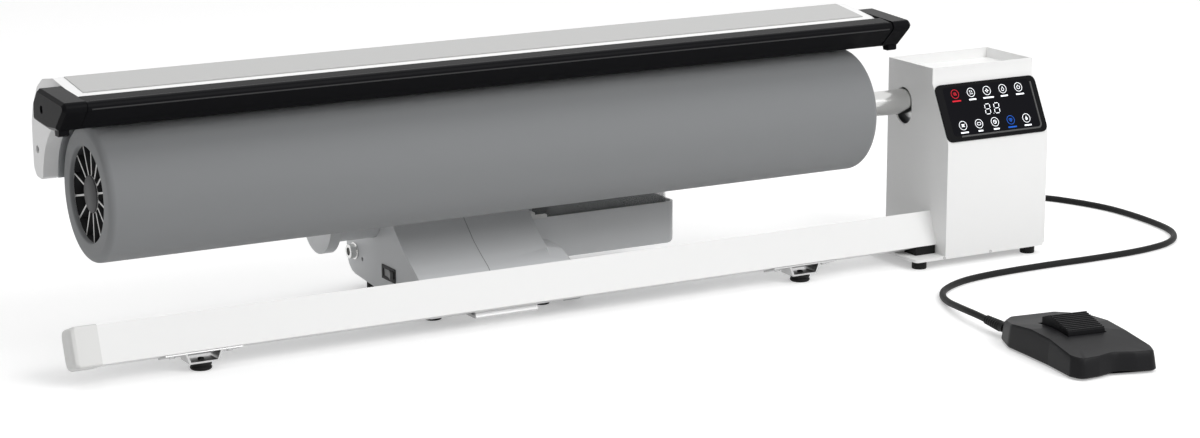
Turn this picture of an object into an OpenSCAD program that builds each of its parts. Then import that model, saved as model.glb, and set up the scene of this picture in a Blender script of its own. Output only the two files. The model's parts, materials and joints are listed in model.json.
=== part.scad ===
/* [Roller] */
// Length of the padded roller
roller_len = 850; // [700:10:1000]
// Outer diameter of the padded roller
roller_d = 130; // [124:1:134]
// Height of the roller's axis above the floor when it is pressed up
roller_axis_z = 168; // [166:1:170]
// Distance from the front of the control box back to the roller's axis
roller_axis_y = 83; // [82:0.5:84]
// Distance from the roller's right end to the control box
roller_gap = 77; // [60:1:100]
// Thickness of the cloth and padding round the roller's tube
pad_t = 4.5; // [3:0.5:6]
// Wall of the roller's tube
roller_wall = 3; // [2:0.5:4]
// Rounding of the padding over the roller's ends
roller_edge_r = 7; // [5:0.5:9]
// Outer diameter of the roller's shaft
shaft_d = 27; // [24:0.5:28]
// Wall of the roller's shaft
shaft_wall = 3.5; // [2:0.5:5]
// Distance that the roller drops when it is let down
lift_travel = 10; // [6:0.5:11]
// Count of ribs in the roller's open left end
hub_ribs = 14; // [8:1:20]

/* [Control box] */
// Width of the control box
box_w = 132; // [124:1:160]
// Depth of the control box
box_d = 112; // [112:1:118]
// Height of the box's top edge above the floor
box_h = 211.5; // [210:0.5:216]
// Wall of the box
box_wall = 2; // [1.5:0.1:2.5]
// Height of the lower end of the sloped panel
slope_low_h = 134.5; // [128:0.5:138]
// Height of the upper end of the sloped panel
slope_top_h = 195.2; // [192:0.2:198]
// Depth that the panel leans back
slope_back = 31; // [26:0.5:33]
// Depth of the storage tray in the top of the box
top_tray_depth = 11; // [8:0.5:12]
// Height of the box's rubber feet
box_foot_h = 9.3; // [8:0.1:9.5]
// Thickness of the steel base plates
plate_t = 3; // [2:0.5:3]
// Length of base plate that reaches out to the left of the box
plate_overhang = 38; // [32:1:60]
// Thickness of the panel's frame
bezel_t = 2; // [1.5:0.1:3]
// Thickness of the panel's front glass
glass_t = 1.2; // [0.8:0.1:1.4]

/* [Front rail] */
// Length of the front rail
rail_len = 941; // [900:1:1100]
// Depth of the rail's rectangular tube
rail_depth = 28; // [24:0.5:28]
// Height of the rail's rectangular tube
rail_h = 37.2; // [30:0.2:38]
// Wall of the rail
rail_wall = 2; // [1.5:0.1:3]
// Angle that the rail leans back
rail_lean = 20; // [18:0.5:20]
// Length of the rail's end cap outside the tube
rail_cap_len = 27; // [18:1:40]
// Distance of each foot bracket from the middle of the roller
rail_foot_span = 337; // [250:1:380]
// Diameter of the rail's rubber feet
rail_foot_d = 21; // [16:0.5:24]

/* [Heated shoe] */
// Gap between the pressed roller and the heated plate
press_gap = 3; // [2.8:0.1:3.6]
// Thickness of the heated plate
shoe_plate_t = 5; // [4.5:0.1:5.5]
// Wall of the shoe's sheet frame
shoe_wall = 2.5; // [2:0.1:3]
// Length by which the shoe passes the roller at each end
shoe_over = 17.5; // [16:0.5:25]
// Thickness of the shoe's side covers
side_cover_t = 14.5; // [10:0.5:14.5]
// Width of the black end caps
end_cap_w = 23; // [16:1:30]
// Thickness of the carrier arms
arm_t = 12; // [8:1:12]
// Radius of the carrier arms' discs
arm_disc_r = 36; // [32:1:37]
// Outer diameter of the pivot tube
pivot_d = 52; // [46:1:54]

/* [Base housing] */
// Width of the base housing at its top
housing_w = 155; // [150:1:180]
// Depth of the base housing
housing_d = 194; // [190:1:200]
// Wall of the base housing
housing_wall = 3; // [2.5:0.1:3.5]
// Length of the tray for the water tank
tank_tray_len = 178; // [170:1:220]
// Height of the tray's front wall
tank_tray_h = 44.5; // [40:0.5:48]
// Wall of the tray
tank_tray_wall = 2.5; // [2:0.1:3]
// Height of the water tank
tank_h = 67; // [60:0.5:68]
// Wall of the water tank
tank_wall = 2; // [1.5:0.1:2.5]

/* [Foot pedal] */
// Width of the pedal
pedal_w = 94; // [88:1:110]
// Length of the pedal
pedal_l = 164; // [156:1:190]
// Height of the pedal's top at its front
pedal_front_h = 21; // [20:0.5:22]
// Height of the pedal's top at its rear
pedal_rear_h = 22; // [21:0.5:24]
// Wall of the pedal's shell
pedal_wall = 2.5; // [2:0.1:2.8]
// Count of ribs on the treadle
treadle_ribs = 10; // [6:1:12]

/* [Hidden] */
$fn = 64;

// Overrun of every cut past its surface
over = 1;
// Clearance on the radius of a turning or sliding fit
fit = 0.06;
// Clearance between loose faces
loose = 0.3;

// Places along the roller
roller_right = -roller_gap;
roller_left = roller_right - roller_len;
roller_mid = roller_right - roller_len / 2;
roller_r = roller_d / 2;
shaft_r = shaft_d / 2;
tube_r = roller_r - pad_t - loose;

// Shoe ends and radii
shoe_left = roller_left - shoe_over;
shoe_right = roller_right + shoe_over;
shoe_r = roller_r + press_gap;

// Sloped panel
slope_a = atan2(slope_top_h - slope_low_h, slope_back);
slope_len = norm([slope_top_h - slope_low_h, slope_back]);
box_bottom = box_foot_h + plate_t;
box_roof = box_h - top_tray_depth - box_wall;

// Front rail
rail_y = 16.8;
rail_z = box_bottom + rail_depth * sin(rail_lean) + loose;

// Base housing
housing_y = 60;
housing_shift = 5.5;
housing_x = roller_mid - housing_w / 2 - housing_shift;
housing_right = housing_x + housing_w;
housing_ref_h = 130;
housing_front_z = 6;
seam_share = 0.515;
pivot_y = 195;
pivot_z = 89.5;
pivot_r = pivot_d / 2;
arm_gap = 3;
arm_left_out = 60;
arm_left_x = housing_x - arm_left_out;
arm_right_x = housing_right + arm_gap;

// Geometry helpers
side_share = 0.495;
function unit(v) = v / norm(v);
function arc(c, r, a1, a2, n) =
    [for (i = [0:n]) c + r * [cos(a1 + (a2 - a1) * i / n), sin(a1 + (a2 - a1) * i / n)]];
function scaled(points, size, at = [0, 0]) = [for (p = points) [at[0] + p[0] * size[0],
    at[1] + p[1] * size[1]]];
function turn_of(d) = d > 180 ? d - 360 : d < -180 ? d + 360 : d;
function corner_arc(a, b, c, r, n) = r <= 0 ? [b] :
    let (u = unit(a - b), v = unit(c - b), half = acos(max(-1, min(1, u * v))) / 2)
    let (t = min(r / tan(half), norm(a - b) * side_share, norm(c - b) * side_share), rr = t * tan(half))
    let (m = b + unit(u + v) * rr / sin(half), s = b + u * t - m, e = b + v * t - m)
    let (a1 = atan2(s[1], s[0]), d = turn_of(atan2(e[1], e[0]) - a1))
    [for (k = [0:n]) m + rr * [cos(a1 + d * k / n), sin(a1 + d * k / n)]];
function pick(r, i) = is_list(r) ? r[i] : r;
function rounded(p, r, n = 4) = [for (i = [0:len(p) - 1])
    each corner_arc(p[(i + len(p) - 1) % len(p)], p[i], p[(i + 1) % len(p)], pick(r, i), n)];
function side(v) = [-v[1], v[0]] / norm(v);
function inset(p, t) = [for (i = [0:len(p) - 1])
    let (a = p[(i + len(p) - 1) % len(p)], b = p[i], c = p[(i + 1) % len(p)])
    let (m = side(b - a), n = side(c - b)) b + t * (m + n) / (1 + m * n)];
function box_points(w, d) = [[-w / 2, -d / 2], [w / 2, -d / 2], [w / 2, d / 2], [-w / 2, d / 2]];
function ring_sector(r1, r2, a1, a2, n) = concat(arc([0, 0], r2, a1, a2, n), arc([0, 0], r1, a2, a1, n));
function low(v) = min([for (p = v) p[1]]);

// A flat outline in Y and Z, drawn out along X
module along_x(x, len) {
    translate([x, 0, 0]) rotate([90, 0, 90]) linear_extrude(len) children();
}
// A round bar along X through a place in Y and Z
module bar_x(x, len, y, z, r) {
    translate([x, y, z]) rotate([0, 90, 0]) cylinder(h = len, r = r);
}
// A round bar along Y
module bar_y(x, y, z, len, r) {
    translate([x, y, z]) rotate([-90, 0, 0]) cylinder(h = len, r = r);
}
module block(from, to) {
    translate(from) cube(to - from);
}
module at_roller() {
    translate([0, roller_axis_y, roller_axis_z]) children();
}
module on_slope() {
    translate([0, 0, slope_low_h]) rotate([slope_a, 0, 0]) children();
}
module on_rail() {
    translate([0, rail_y, rail_z]) rotate([-rail_lean, 0, 0]) children();
}

// Control box
flange_w = 9;
cover_t = 1.5;
cover_screw_d = 5;
slot_r = shaft_r + 1.5;
window_side = 14;
window_low = 11;
function slope_at(y, t) = slope_low_h + y * tan(slope_a) - t / cos(slope_a);
box_outline = [[0, box_bottom], [box_d, box_bottom], [box_d, box_h], [slope_back, box_h],
    [slope_back, slope_top_h], [0, slope_low_h]];
box_hollow = [[box_wall, box_bottom - over], [box_d + over, box_bottom - over], [box_d + over, box_roof],
    [(box_roof - slope_low_h + box_wall / cos(slope_a)) / tan(slope_a), box_roof],
    [box_wall, slope_at(box_wall, box_wall)]];
module box_shell() color("white") {
    flange_y = box_d - cover_t - box_wall;
    difference() {
        along_x(0, box_w) polygon(box_outline);
        along_x(box_wall, box_w - 2 * box_wall) polygon(box_hollow);
        block([box_wall, slope_back + box_wall, box_h - top_tray_depth],
            [box_w - box_wall, box_d - box_wall, box_h + over]);
        bar_x(-over, box_wall + 2 * over, roller_axis_y, roller_axis_z, slot_r);
        bar_x(-over, box_wall + 2 * over, roller_axis_y, roller_axis_z - lift_travel, slot_r);
        block([-over, roller_axis_y - slot_r, roller_axis_z - lift_travel],
            [box_wall + over, roller_axis_y + slot_r, roller_axis_z]);
        on_slope() block([window_side, window_low, -2 * box_wall],
            [box_w - window_side, slope_len - window_low, over]);
    }
    for (x = [box_wall, box_w - box_wall - flange_w]) {
        difference() {
            block([x, flange_y, box_bottom + box_wall], [x + flange_w, flange_y + box_wall, box_roof]);
            cover_screw_holes(flange_y - over, cover_t + box_wall + 2 * over);
        }
    }
}
cover_screw_r = cover_screw_d / 4;
cover_screw_in = box_wall + flange_w / 2;
cover_screw_shares = [0.25, 0.9];
cover_screw_zs = [for (k = cover_screw_shares) box_bottom + (box_roof - box_bottom) * k];
module cover_screw_holes(y, len) {
    for (x = [cover_screw_in, box_w - cover_screw_in], z = cover_screw_zs) {
        bar_y(x, y, z, len, cover_screw_r);
    }
}
gland_x = 104;
gland_rise = 8;
gland_z = box_bottom + gland_rise;
gland_r = 5;
module box_rear_cover() color("white") {
    difference() {
        block([box_wall, box_d - cover_t, box_bottom], [box_w - box_wall, box_d, box_roof]);
        cover_screw_holes(box_d - cover_t - over, cover_t + 2 * over);
        bar_y(gland_x, box_d - cover_t - over, gland_z, cover_t + 2 * over, gland_r);
        for (k = [0:vent_count - 1]) {
            block([box_w * vent_shares[0], box_d - cover_t - over, vent_z + k * vent_pitch],
                [box_w * vent_shares[1], box_d + over, vent_z + k * vent_pitch + vent_h]);
        }
    }
}
vent_count = 5;
vent_h = 2.5;
vent_pitch = 7;
vent_shares = [0.3, 0.7];
vent_rise = 40;
vent_z = box_bottom + vent_rise;
plate_corner_r = 4;
edge_screw_d = 3.6;
edge_screw_len = 7;
edge_screw_xs = [-1.4, 59.5];
module box_base_plate() color("white") {
    difference() {
        translate([-plate_overhang, 0, box_foot_h]) linear_extrude(plate_t)
            polygon(rounded([[0, 0], [box_w + plate_overhang, 0], [box_w + plate_overhang, box_d],
                [0, box_d]],
                plate_corner_r));
        for (x = edge_screw_xs) {
            bar_y(x, -over, box_foot_h + plate_t / 2, edge_screw_len + over, edge_screw_d / 4);
        }
    }
}
box_foot_r = 8;
box_foot_in = 13;
module box_feet() color("black") {
    for (x = [box_foot_in - plate_overhang, box_w - box_foot_in], y = [box_foot_in, box_d - box_foot_in]) {
        translate([x, y, 0]) cylinder(h = box_foot_h, r = box_foot_r);
    }
}

// Touch panel
panel_low = 1.3;
panel_top_gap = 3.16;
panel_high = slope_len - panel_top_gap;
panel_r = 7;
glass_side = 9;
glass_low = 7;
glass_r = 4;
display_w = 26;
display_h = 17;
display_shares = [0.504, 0.486];
display_at = [box_w * display_shares[0], slope_len * display_shares[1]];
board_gap = 4.4;
board_t = 1.6;
board_in = 19;
module panel_plate(x1, y1, x2, y2, r, z, t) {
    translate([0, 0, z]) linear_extrude(t) polygon(rounded([[x1, y1], [x2, y1], [x2, y2], [x1, y2]], r));
}
module panel_bezel() color("#101012") {
    on_slope() difference() {
        panel_plate(0, panel_low, box_w, panel_high, panel_r, 0, bezel_t);
        panel_plate(glass_side, glass_low, box_w - glass_side, panel_high - glass_low / 2, glass_r,
            bezel_t - glass_t, glass_t + over);
        translate([display_at[0], display_at[1], bezel_t / 2])
            cube([display_w, display_h, 2 * bezel_t + over], center = true);
        for (x = board_pin_xs, y = board_pin_ys) translate([x, y, -over])
            cylinder(h = bezel_t, r = board_pin_r / 2);
    }
}
module panel_glass() color("#050507") {
    on_slope() panel_plate(glass_side + fit, glass_low + fit, box_w - glass_side - fit,
        panel_high - glass_low / 2 - fit, glass_r, bezel_t - glass_t, glass_t);
}
board_pin_r = 2.5;
board_pin_in = 4;
board_pin_xs = [board_in + board_pin_in, box_w - board_in - board_pin_in];
board_pin_ys = [window_low + board_pin_in, slope_len - window_low - board_pin_in];
module display_board() color("darkgreen") {
    on_slope() {
        translate([board_in, window_low + over, -board_gap - board_t])
            cube([box_w - 2 * board_in, slope_len - 2 * window_low - 2 * over, board_t]);
        for (x = board_pin_xs, y = board_pin_ys) {
            translate([x, y, -board_gap]) cylinder(h = board_gap, r = board_pin_r);
        }
        translate([display_at[0] - display_w / 2 + fit, display_at[1] - display_h / 2 + fit, -board_gap])
            cube([display_w - 2 * fit, display_h - 2 * fit, board_gap + bezel_t - glass_t]);
    }
}

// Lift drive inside the box
carriage_x = 8;
carriage_len = 64;
carriage_plate = 8;
carriage_reach = [39, 21];
carriage_front = roller_axis_y - carriage_reach[0];
carriage_back = roller_axis_y + carriage_reach[1];
guide_reach = 31;
guide_y = roller_axis_y - guide_reach;
guide_r = 4;
guide_in = 8;
guide_block_d = 16;
guide_block_half = 18;
guide_block_low = roller_axis_z - guide_block_half;
guide_block_high = roller_axis_z + guide_block_half;
carriage_rise = [-52, 22];
carriage_low = roller_axis_z + carriage_rise[0];
carriage_high = roller_axis_z + carriage_rise[1];
carriage_step = 20;
bearing_r = 19;
gear_gap = 6;
gear_t = 12;
gear_module = 1.5;
gear_teeth = 32;
pinion_teeth = 12;
gear_r = gear_module * gear_teeth / 2;
pinion_r = gear_module * pinion_teeth / 2;
motor_z = roller_axis_z - gear_r - pinion_r;
motor_r = 17;
motor_len = 40;
motor_boss_r = 9;
pinion_shaft_r = 3;
gear_x = carriage_x + carriage_len + gear_gap;
guide_xs = [carriage_x + guide_in, carriage_x + carriage_len - guide_in];
screw_x = carriage_x + carriage_len / 2;
bridge_t = 6;
bridge_z = box_roof - bridge_t - over;
lift_motor_w = 38;
lift_motor_h = 42;
lift_motor_boss = 11;
lift_motor_boss_h = 2;
screw_depth = 8;
module lift_guide_frame() color("silver") {
    for (x = guide_xs) {
        translate([x, guide_y, box_bottom]) cylinder(h = box_roof - box_bottom, r = guide_r);
    }
    difference() {
        block([carriage_x, guide_y - bridge_t, bridge_z],
            [carriage_x + carriage_len, guide_y + bridge_t, bridge_z + bridge_t]);
        translate([screw_x, guide_y, bridge_z - over]) cylinder(h = bridge_t + 2 * over, r = guide_r + fit);
    }
}
module lift_motor() color("#303030") {
    motor_top = box_bottom + lift_motor_h;
    difference() {
        union() {
            translate([screw_x, guide_y, box_bottom]) linear_extrude(lift_motor_h)
                polygon(rounded(box_points(lift_motor_w, lift_motor_w), lift_motor_boss_h));
            translate([screw_x, guide_y, motor_top]) cylinder(h = lift_motor_boss_h, r = lift_motor_boss);
        }
        translate([screw_x, guide_y, motor_top - screw_depth])
            cylinder(h = screw_depth + lift_motor_boss_h + over, r = guide_r + fit);
    }
}
module lift_screw() color("silver") {
    screw_foot = box_bottom + lift_motor_h - screw_depth + loose;
    translate([screw_x, guide_y, screw_foot]) cylinder(h = bridge_z + bridge_t - screw_foot, r = guide_r);
}
carriage_outline = [[carriage_front + guide_block_d, carriage_low + carriage_step],
    [roller_axis_y - guide_block_half, carriage_low],
    [carriage_back, carriage_low], [carriage_back, carriage_high],
        [carriage_front + guide_block_d, carriage_high]];
module lift_carriage() color("gray") {
    difference() {
        union() {
            for (x = [carriage_x, carriage_x + carriage_len - carriage_plate]) {
                along_x(x, carriage_plate) polygon(carriage_outline);
            }
            block([carriage_x, carriage_back - carriage_plate / 2, carriage_low],
                [carriage_x + carriage_len, carriage_back, carriage_high]);
            block([carriage_x, carriage_front, guide_block_low],
                [carriage_x + carriage_len, carriage_front + guide_block_d, guide_block_high]);
        }
        bar_x(carriage_x - over, carriage_len + 2 * over, roller_axis_y, roller_axis_z, bearing_r);
        bar_x(carriage_x + carriage_len / 2, carriage_len, roller_axis_y, motor_z, motor_boss_r + fit);
        for (x = [guide_xs[0], screw_x, guide_xs[1]]) {
            translate([x, guide_y, guide_block_low - over])
                cylinder(h = guide_block_high - guide_block_low + 2 * over, r = guide_r + fit);
        }
    }
}
module shaft_bearings() color("silver") {
    for (x = [carriage_x, carriage_x + carriage_len - carriage_plate]) difference() {
        bar_x(x, carriage_plate, roller_axis_y, roller_axis_z, bearing_r);
        bar_x(x - over, carriage_plate + 2 * over, roller_axis_y, roller_axis_z, shaft_r + fit);
    }
}
module drive_motor() color("#404040") {
    plate_x = carriage_x + carriage_len - carriage_plate;
    difference() {
        union() {
            bar_x(plate_x - motor_len, motor_len, roller_axis_y, motor_z, motor_r);
            bar_x(plate_x, carriage_plate, roller_axis_y, motor_z, motor_boss_r);
        }
        bar_x(plate_x - carriage_plate, 2 * carriage_plate + over, roller_axis_y, motor_z,
            pinion_shaft_r + fit);
    }
}

// Gears with shortened involute teeth
pressure_a = 20;
backlash = 0.25;
tip_share = 0.8;
root_share = 1.05;
function involute_deg(r, base) = let (a = acos(min(1, base / r))) tan(a) * 180 / PI - a;
function tooth_half(r, pitch, n) = let (base = pitch * cos(pressure_a))
    90 / n - backlash / pitch * 45 / PI + involute_deg(pitch, base) - involute_deg(max(r, base), base);
function tooth(n, k, turn) = let (pitch = gear_module * n / 2, tip = pitch + gear_module * tip_share)
    let (root = pitch - gear_module * root_share, mid = turn + 360 * k / n)
    let (rs = [root, pitch * cos(pressure_a) + gear_module / 20, pitch, (pitch + tip) / 2, tip])
    concat([for (r = rs) let (a = mid - tooth_half(r, pitch, n)) r * [cos(a), sin(a)]],
        [for (i = [4:-1:0]) let (a = mid + tooth_half(rs[i], pitch, n)) rs[i] * [cos(a), sin(a)]]);
module gear(n, turn) {
    polygon([for (k = [0:n - 1]) each tooth(n, k, turn)]);
}
module drive_gear() color("#c8b060") {
    difference() {
        at_roller() along_x(gear_x, gear_t) gear(gear_teeth, -90);
        bar_x(gear_x - over, gear_t + 2 * over, roller_axis_y, roller_axis_z, shaft_r);
    }
}
module motor_pinion() color("#c8b060") {
    plate_x = carriage_x + carriage_len - carriage_plate;
    translate([0, roller_axis_y, motor_z]) along_x(gear_x, gear_t)
        gear(pinion_teeth, 90 + 180 / pinion_teeth);
    bar_x(plate_x - carriage_plate / 2, gear_x - plate_x + carriage_plate, roller_axis_y, motor_z,
        pinion_shaft_r);
}

// Roller
hub_in = 5;
hub_r = 18;
hub_face_r = 45.5;
hub_web = 3;
hub_depth = 16;
rib_t = 2;
shaft_tail = 2;
module roller_shaft() color("silver") {
    shaft_from = roller_left + hub_in;
    shaft_to = gear_x + gear_t + shaft_tail;
    difference() {
        bar_x(shaft_from, shaft_to - shaft_from, roller_axis_y, roller_axis_z, shaft_r);
        bar_x(shaft_from - over, shaft_to - shaft_from + 2 * over, roller_axis_y, roller_axis_z,
            shaft_r - shaft_wall);
    }
}
module roller_tube() color("lightgray") {
    difference() {
        bar_x(roller_left + hub_in, roller_len - 2 * hub_in, roller_axis_y, roller_axis_z, tube_r);
        bar_x(roller_left, roller_len, roller_axis_y, roller_axis_z, tube_r - roller_wall);
    }
}
lip_t = hub_in - loose;
cover_outline = rounded([[tube_r + loose, lip_t], [hub_face_r, lip_t], [hub_face_r, 0], [roller_r, 0],
    [roller_r, roller_len], [hub_face_r, roller_len], [hub_face_r, roller_len - lip_t],
    [tube_r + loose, roller_len - lip_t]], [0, 0, 0, roller_edge_r, roller_edge_r, 0, 0, 0]);
module roller_cover() color("#6f7173") {
    translate([roller_left, roller_axis_y, roller_axis_z]) rotate([0, 90, 0]) rotate_extrude()
        polygon(cover_outline);
}
module hub_disc() {
    inner_r = tube_r - roller_wall;
    ring_r = hub_face_r + rib_t;
    rotate([0, 90, 0]) rotate_extrude() polygon([[shaft_r, 0], [hub_r, 0], [hub_r, hub_depth - hub_web],
        [ring_r, hub_depth - hub_web], [ring_r, 0], [inner_r, 0], [inner_r, hub_depth], [shaft_r, hub_depth]]);
    for (k = [0:hub_ribs - 1]) rotate([360 * k / hub_ribs, 0, 0])
        block([rib_t / 2, -rib_t / 2, hub_r - rib_t], [hub_depth - hub_web / 2, rib_t / 2, ring_r + rib_t]);
}
module roller_hubs() color("#d0d0d0") {
    translate([roller_left + hub_in, roller_axis_y, roller_axis_z]) hub_disc();
    translate([roller_right - hub_in, roller_axis_y, roller_axis_z]) mirror([1, 0, 0]) hub_disc();
}

// Front rail, leaning back
rail_cap_proud = 1.2;
rail_cap_r = 5;
rail_cap_step = 1.5;
rail_tongue = 14;
module rail_tube() color("white") {
    on_rail() difference() {
        block([-rail_len, 0, 0], [0, rail_depth, rail_h]);
        block([-rail_len - over, rail_wall, rail_wall], [over, rail_depth - rail_wall, rail_h - rail_wall]);
        for (s = [-1, 1], k = [-1, 1]) {
            translate([roller_mid + s * rail_foot_span + k * flange_screw, flange_mid, -over])
                cylinder(h = rail_wall + 2 * over, r = flange_screw_r);
        }
        for (k = [-1, 1]) {
            translate([link_x + k * link_w / 4, rail_depth - rail_wall - over, link_screw_z])
                rotate([-90, 0, 0])
                cylinder(h = rail_wall + 2 * over, r = flange_screw_r);
        }
    }
}
module rail_end_cap() color("lightgray") {
    plan = [[-rail_cap_proud, -rail_cap_proud], [rail_depth + rail_cap_proud, -rail_cap_proud],
        [rail_depth + rail_cap_proud, rail_h + rail_cap_proud], [-rail_cap_proud, rail_h + rail_cap_proud]];
    on_rail() {
        hull() {
            along_x(-rail_len - rail_cap_len + rail_cap_r, rail_cap_len - rail_cap_r)
                polygon(rounded(plan, rail_cap_r / 2));
            along_x(-rail_len - rail_cap_len + rail_cap_step, rail_cap_r)
                polygon(rounded(inset(plan, rail_cap_step), rail_cap_r));
            along_x(-rail_len - rail_cap_len, rail_cap_r)
                polygon(rounded(inset(plan, rail_cap_r), rail_cap_r));
        }
        block([-rail_len - over, rail_wall + fit, rail_wall + fit],
            [-rail_len + rail_tongue, rail_depth - rail_wall - fit, rail_h - rail_wall - fit]);
    }
}
flange_half = 39;
flange_screw = 29;
flange_screw_r = 1.8;
flange_screw_d = 7;
flange_t = 1.8;
flange_shift = 2;
flange_mid = rail_depth / 2 + flange_shift;
flange_d = 22;
hat_top = 21;
hat_low = 15;
hat_z = 8;
stud_r = 3;
module hat(grow) {
    translate([0, rail_y + flange_mid - flange_d / 2 - grow, 0]) rotate([90, 0, 0]) mirror([0, 0, 1])
        linear_extrude(flange_d + 2 * grow)
        polygon([[-hat_low + grow, hat_z - grow], [hat_low - grow, hat_z - grow],
            [hat_top - grow, rail_z + over], [-hat_top + grow, rail_z + over]]);
}
module below_rail() {
    on_rail() block([-flange_half, -rail_h, -rail_h], [flange_half, 2 * rail_h, -flange_t]);
}
module rail_brackets() color("silver") {
    for (s = [-1, 1]) translate([roller_mid + s * rail_foot_span, 0, 0]) difference() {
        union() {
            on_rail() block([-flange_half, flange_mid - flange_d / 2, -flange_t],
                [flange_half, flange_mid + flange_d / 2, 0]);
            intersection() {
                difference() {
                    hat(0);
                    translate([0, 0, flange_t]) scale_hat();
                }
                below_rail();
            }
        }
        for (k = [-1, 1]) on_rail() translate([k * flange_screw, flange_mid, -flange_t - over])
            cylinder(h = flange_t + 2 * over, r = flange_screw_r);
        translate([0, rail_foot_y, 0]) cylinder(h = hat_z + flange_t + over, r = stud_r + fit);
    }
}
module scale_hat() {
    translate([0, rail_y + flange_mid - flange_d, 0]) rotate([90, 0, 0]) mirror([0, 0, 1])
        linear_extrude(2 * flange_d)
        polygon([[-hat_low + flange_t, hat_z], [hat_low - flange_t, hat_z],
            [hat_top - flange_t, rail_z + over], [-hat_top + flange_t, rail_z + over]]);
}
stud_shift = 1;
rail_foot_y = rail_y + flange_mid - stud_shift;
foot_ring = 1.2;
foot_groove_shares = [0.35, 0.42, 0.55, 0.62];
rail_foot_outline = [[0, 0], [rail_foot_d / 2 - foot_ring, 0], [rail_foot_d / 2, foot_ring],
    [rail_foot_d / 2, hat_z * foot_groove_shares[0]],
    [rail_foot_d / 2 - foot_ring, hat_z * foot_groove_shares[1]],
    [rail_foot_d / 2 - foot_ring, hat_z * foot_groove_shares[2]],
    [rail_foot_d / 2, hat_z * foot_groove_shares[3]],
    [rail_foot_d / 2, hat_z - foot_ring], [rail_foot_d / 2 - foot_ring, hat_z], [0, hat_z]];
module rail_feet() color("#151515") {
    for (s = [-1, 1]) translate([roller_mid + s * rail_foot_span, rail_foot_y, 0]) {
        rotate_extrude() polygon(rail_foot_outline);
        cylinder(h = hat_z + flange_t + foot_ring, r = stud_r);
    }
}
rail_block_w = 25;
rail_block_y = 18;
rail_block_d = 21;
function rail_under(y) = rail_z - (y - rail_y) * tan(rail_lean);
module rail_block() color("#151515") {
    along_x(-rail_block_w - over, rail_block_w) polygon([[rail_block_y, box_bottom],
        [rail_block_y + rail_block_d, box_bottom], [rail_block_y + rail_block_d,
            rail_under(rail_block_y + rail_block_d)],
        [rail_block_y, rail_under(rail_block_y)]]);
}

// Screws of the frame: cover, plate edge, brackets and rail link
screw_head_t = 1.5;
module screw(d, len) {
    cylinder(h = screw_head_t, r1 = d / 2, r2 = d / 2.6);
    translate([0, 0, -len]) cylinder(h = len + over / 2, r = d / 4);
}
link_leg_t = 2.5;
link_leg_share = 0.65;
module frame_screws() color("silver") {
    for (x = [cover_screw_in, box_w - cover_screw_in], z = cover_screw_zs) {
        translate([x, box_d, z]) rotate([-90, 0, 0]) screw(cover_screw_d, cover_t + box_wall);
    }
    for (x = edge_screw_xs) {
        translate([x, 0, box_foot_h + plate_t / 2]) rotate([90, 0, 0])
            screw(edge_screw_d, edge_screw_len - over);
    }
    for (s = [-1, 1], k = [-1, 1]) on_rail()
        translate([roller_mid + s * rail_foot_span + k * flange_screw, flange_mid, -flange_t])
        rotate([180, 0, 0]) screw(flange_screw_d, flange_t + rail_wall);
    for (k = [-1, 1]) on_rail() translate([link_x + k * link_w / 4, rail_depth + link_leg_t, link_screw_z])
        rotate([-90, 0, 0]) screw(flange_screw_d, link_leg_t + rail_wall);
}

// Base housing: a swept casing with its front drawn forward under the roller
housing_front_shares = [[0.402, 0.643], [0.297, 0.501], [0.215, 0.42], [0.135, 0.348], [0.06, 0.24]];
housing_rear_z = 17.5;
housing_mid_z = 12;
housing_mid_share = 0.634;
housing_rear_r = 22;
boss_r = 38;
boss_from_a = -4;
boss_to_a = 150;
boss_steps = 14;
housing_rear_share = 0.46;
housing_floor = [[housing_y, housing_front_z], [housing_y + housing_d * housing_mid_share, housing_mid_z],
    [housing_y + housing_d, housing_rear_z]];
housing_corners = concat(housing_floor, [[housing_y + housing_d, housing_ref_h * housing_rear_share]],
    arc([pivot_y, pivot_z], boss_r, boss_from_a, boss_to_a, boss_steps),
    scaled(housing_front_shares, [housing_d, housing_ref_h], [housing_y, 0]));
housing_rs = concat([3, 0, housing_rear_r, 16], [for (i = [0:boss_steps]) 0], [20, 20, 20, 20, 12]);
housing_outline = rounded(housing_corners, housing_rs);
housing_inside = rounded(inset(housing_corners, housing_wall),
    [for (r = housing_rs) max(0, r - housing_wall)]);
foot_room = 20;
module housing_hollow() {
    polygon(housing_inside);
    polygon([[housing_y + housing_wall, -over], [housing_y + housing_d - foot_room, -over],
        [housing_y + housing_d - foot_room, housing_rear_z + foot_room],
        [housing_y + housing_wall + foot_room, housing_rear_z + foot_room],
        [housing_y + housing_wall, housing_front_z + plate_t + loose]]);
}
link_w = 70;
link_x = housing_x + housing_w / 2;
link_screw_z = 16;
link_lap = 5;
module link_notch() {
    block([link_x - link_w / 2 - loose, housing_y - over, -over],
        [link_x + link_w / 2 + loose, housing_y + housing_wall + 2 * over,
            housing_front_z + plate_t + 2 * over]);
}
seam_x = housing_x + housing_w * seam_share;
switch_share = 0.472;
switch_y = housing_y + housing_d * switch_share;
switch_z = 34;
switch_w = 27;
switch_h = 10.5;
valve_share = 0.892;
valve_y = housing_y + housing_d * valve_share;
valve_z = 41;
valve_r = 5;
vent_hole_share = 0.804;
vent_hole_y = housing_y + housing_d * vent_hole_share;
vent_hole_z = 35.5;
vent_hole_r = 2.2;
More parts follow.
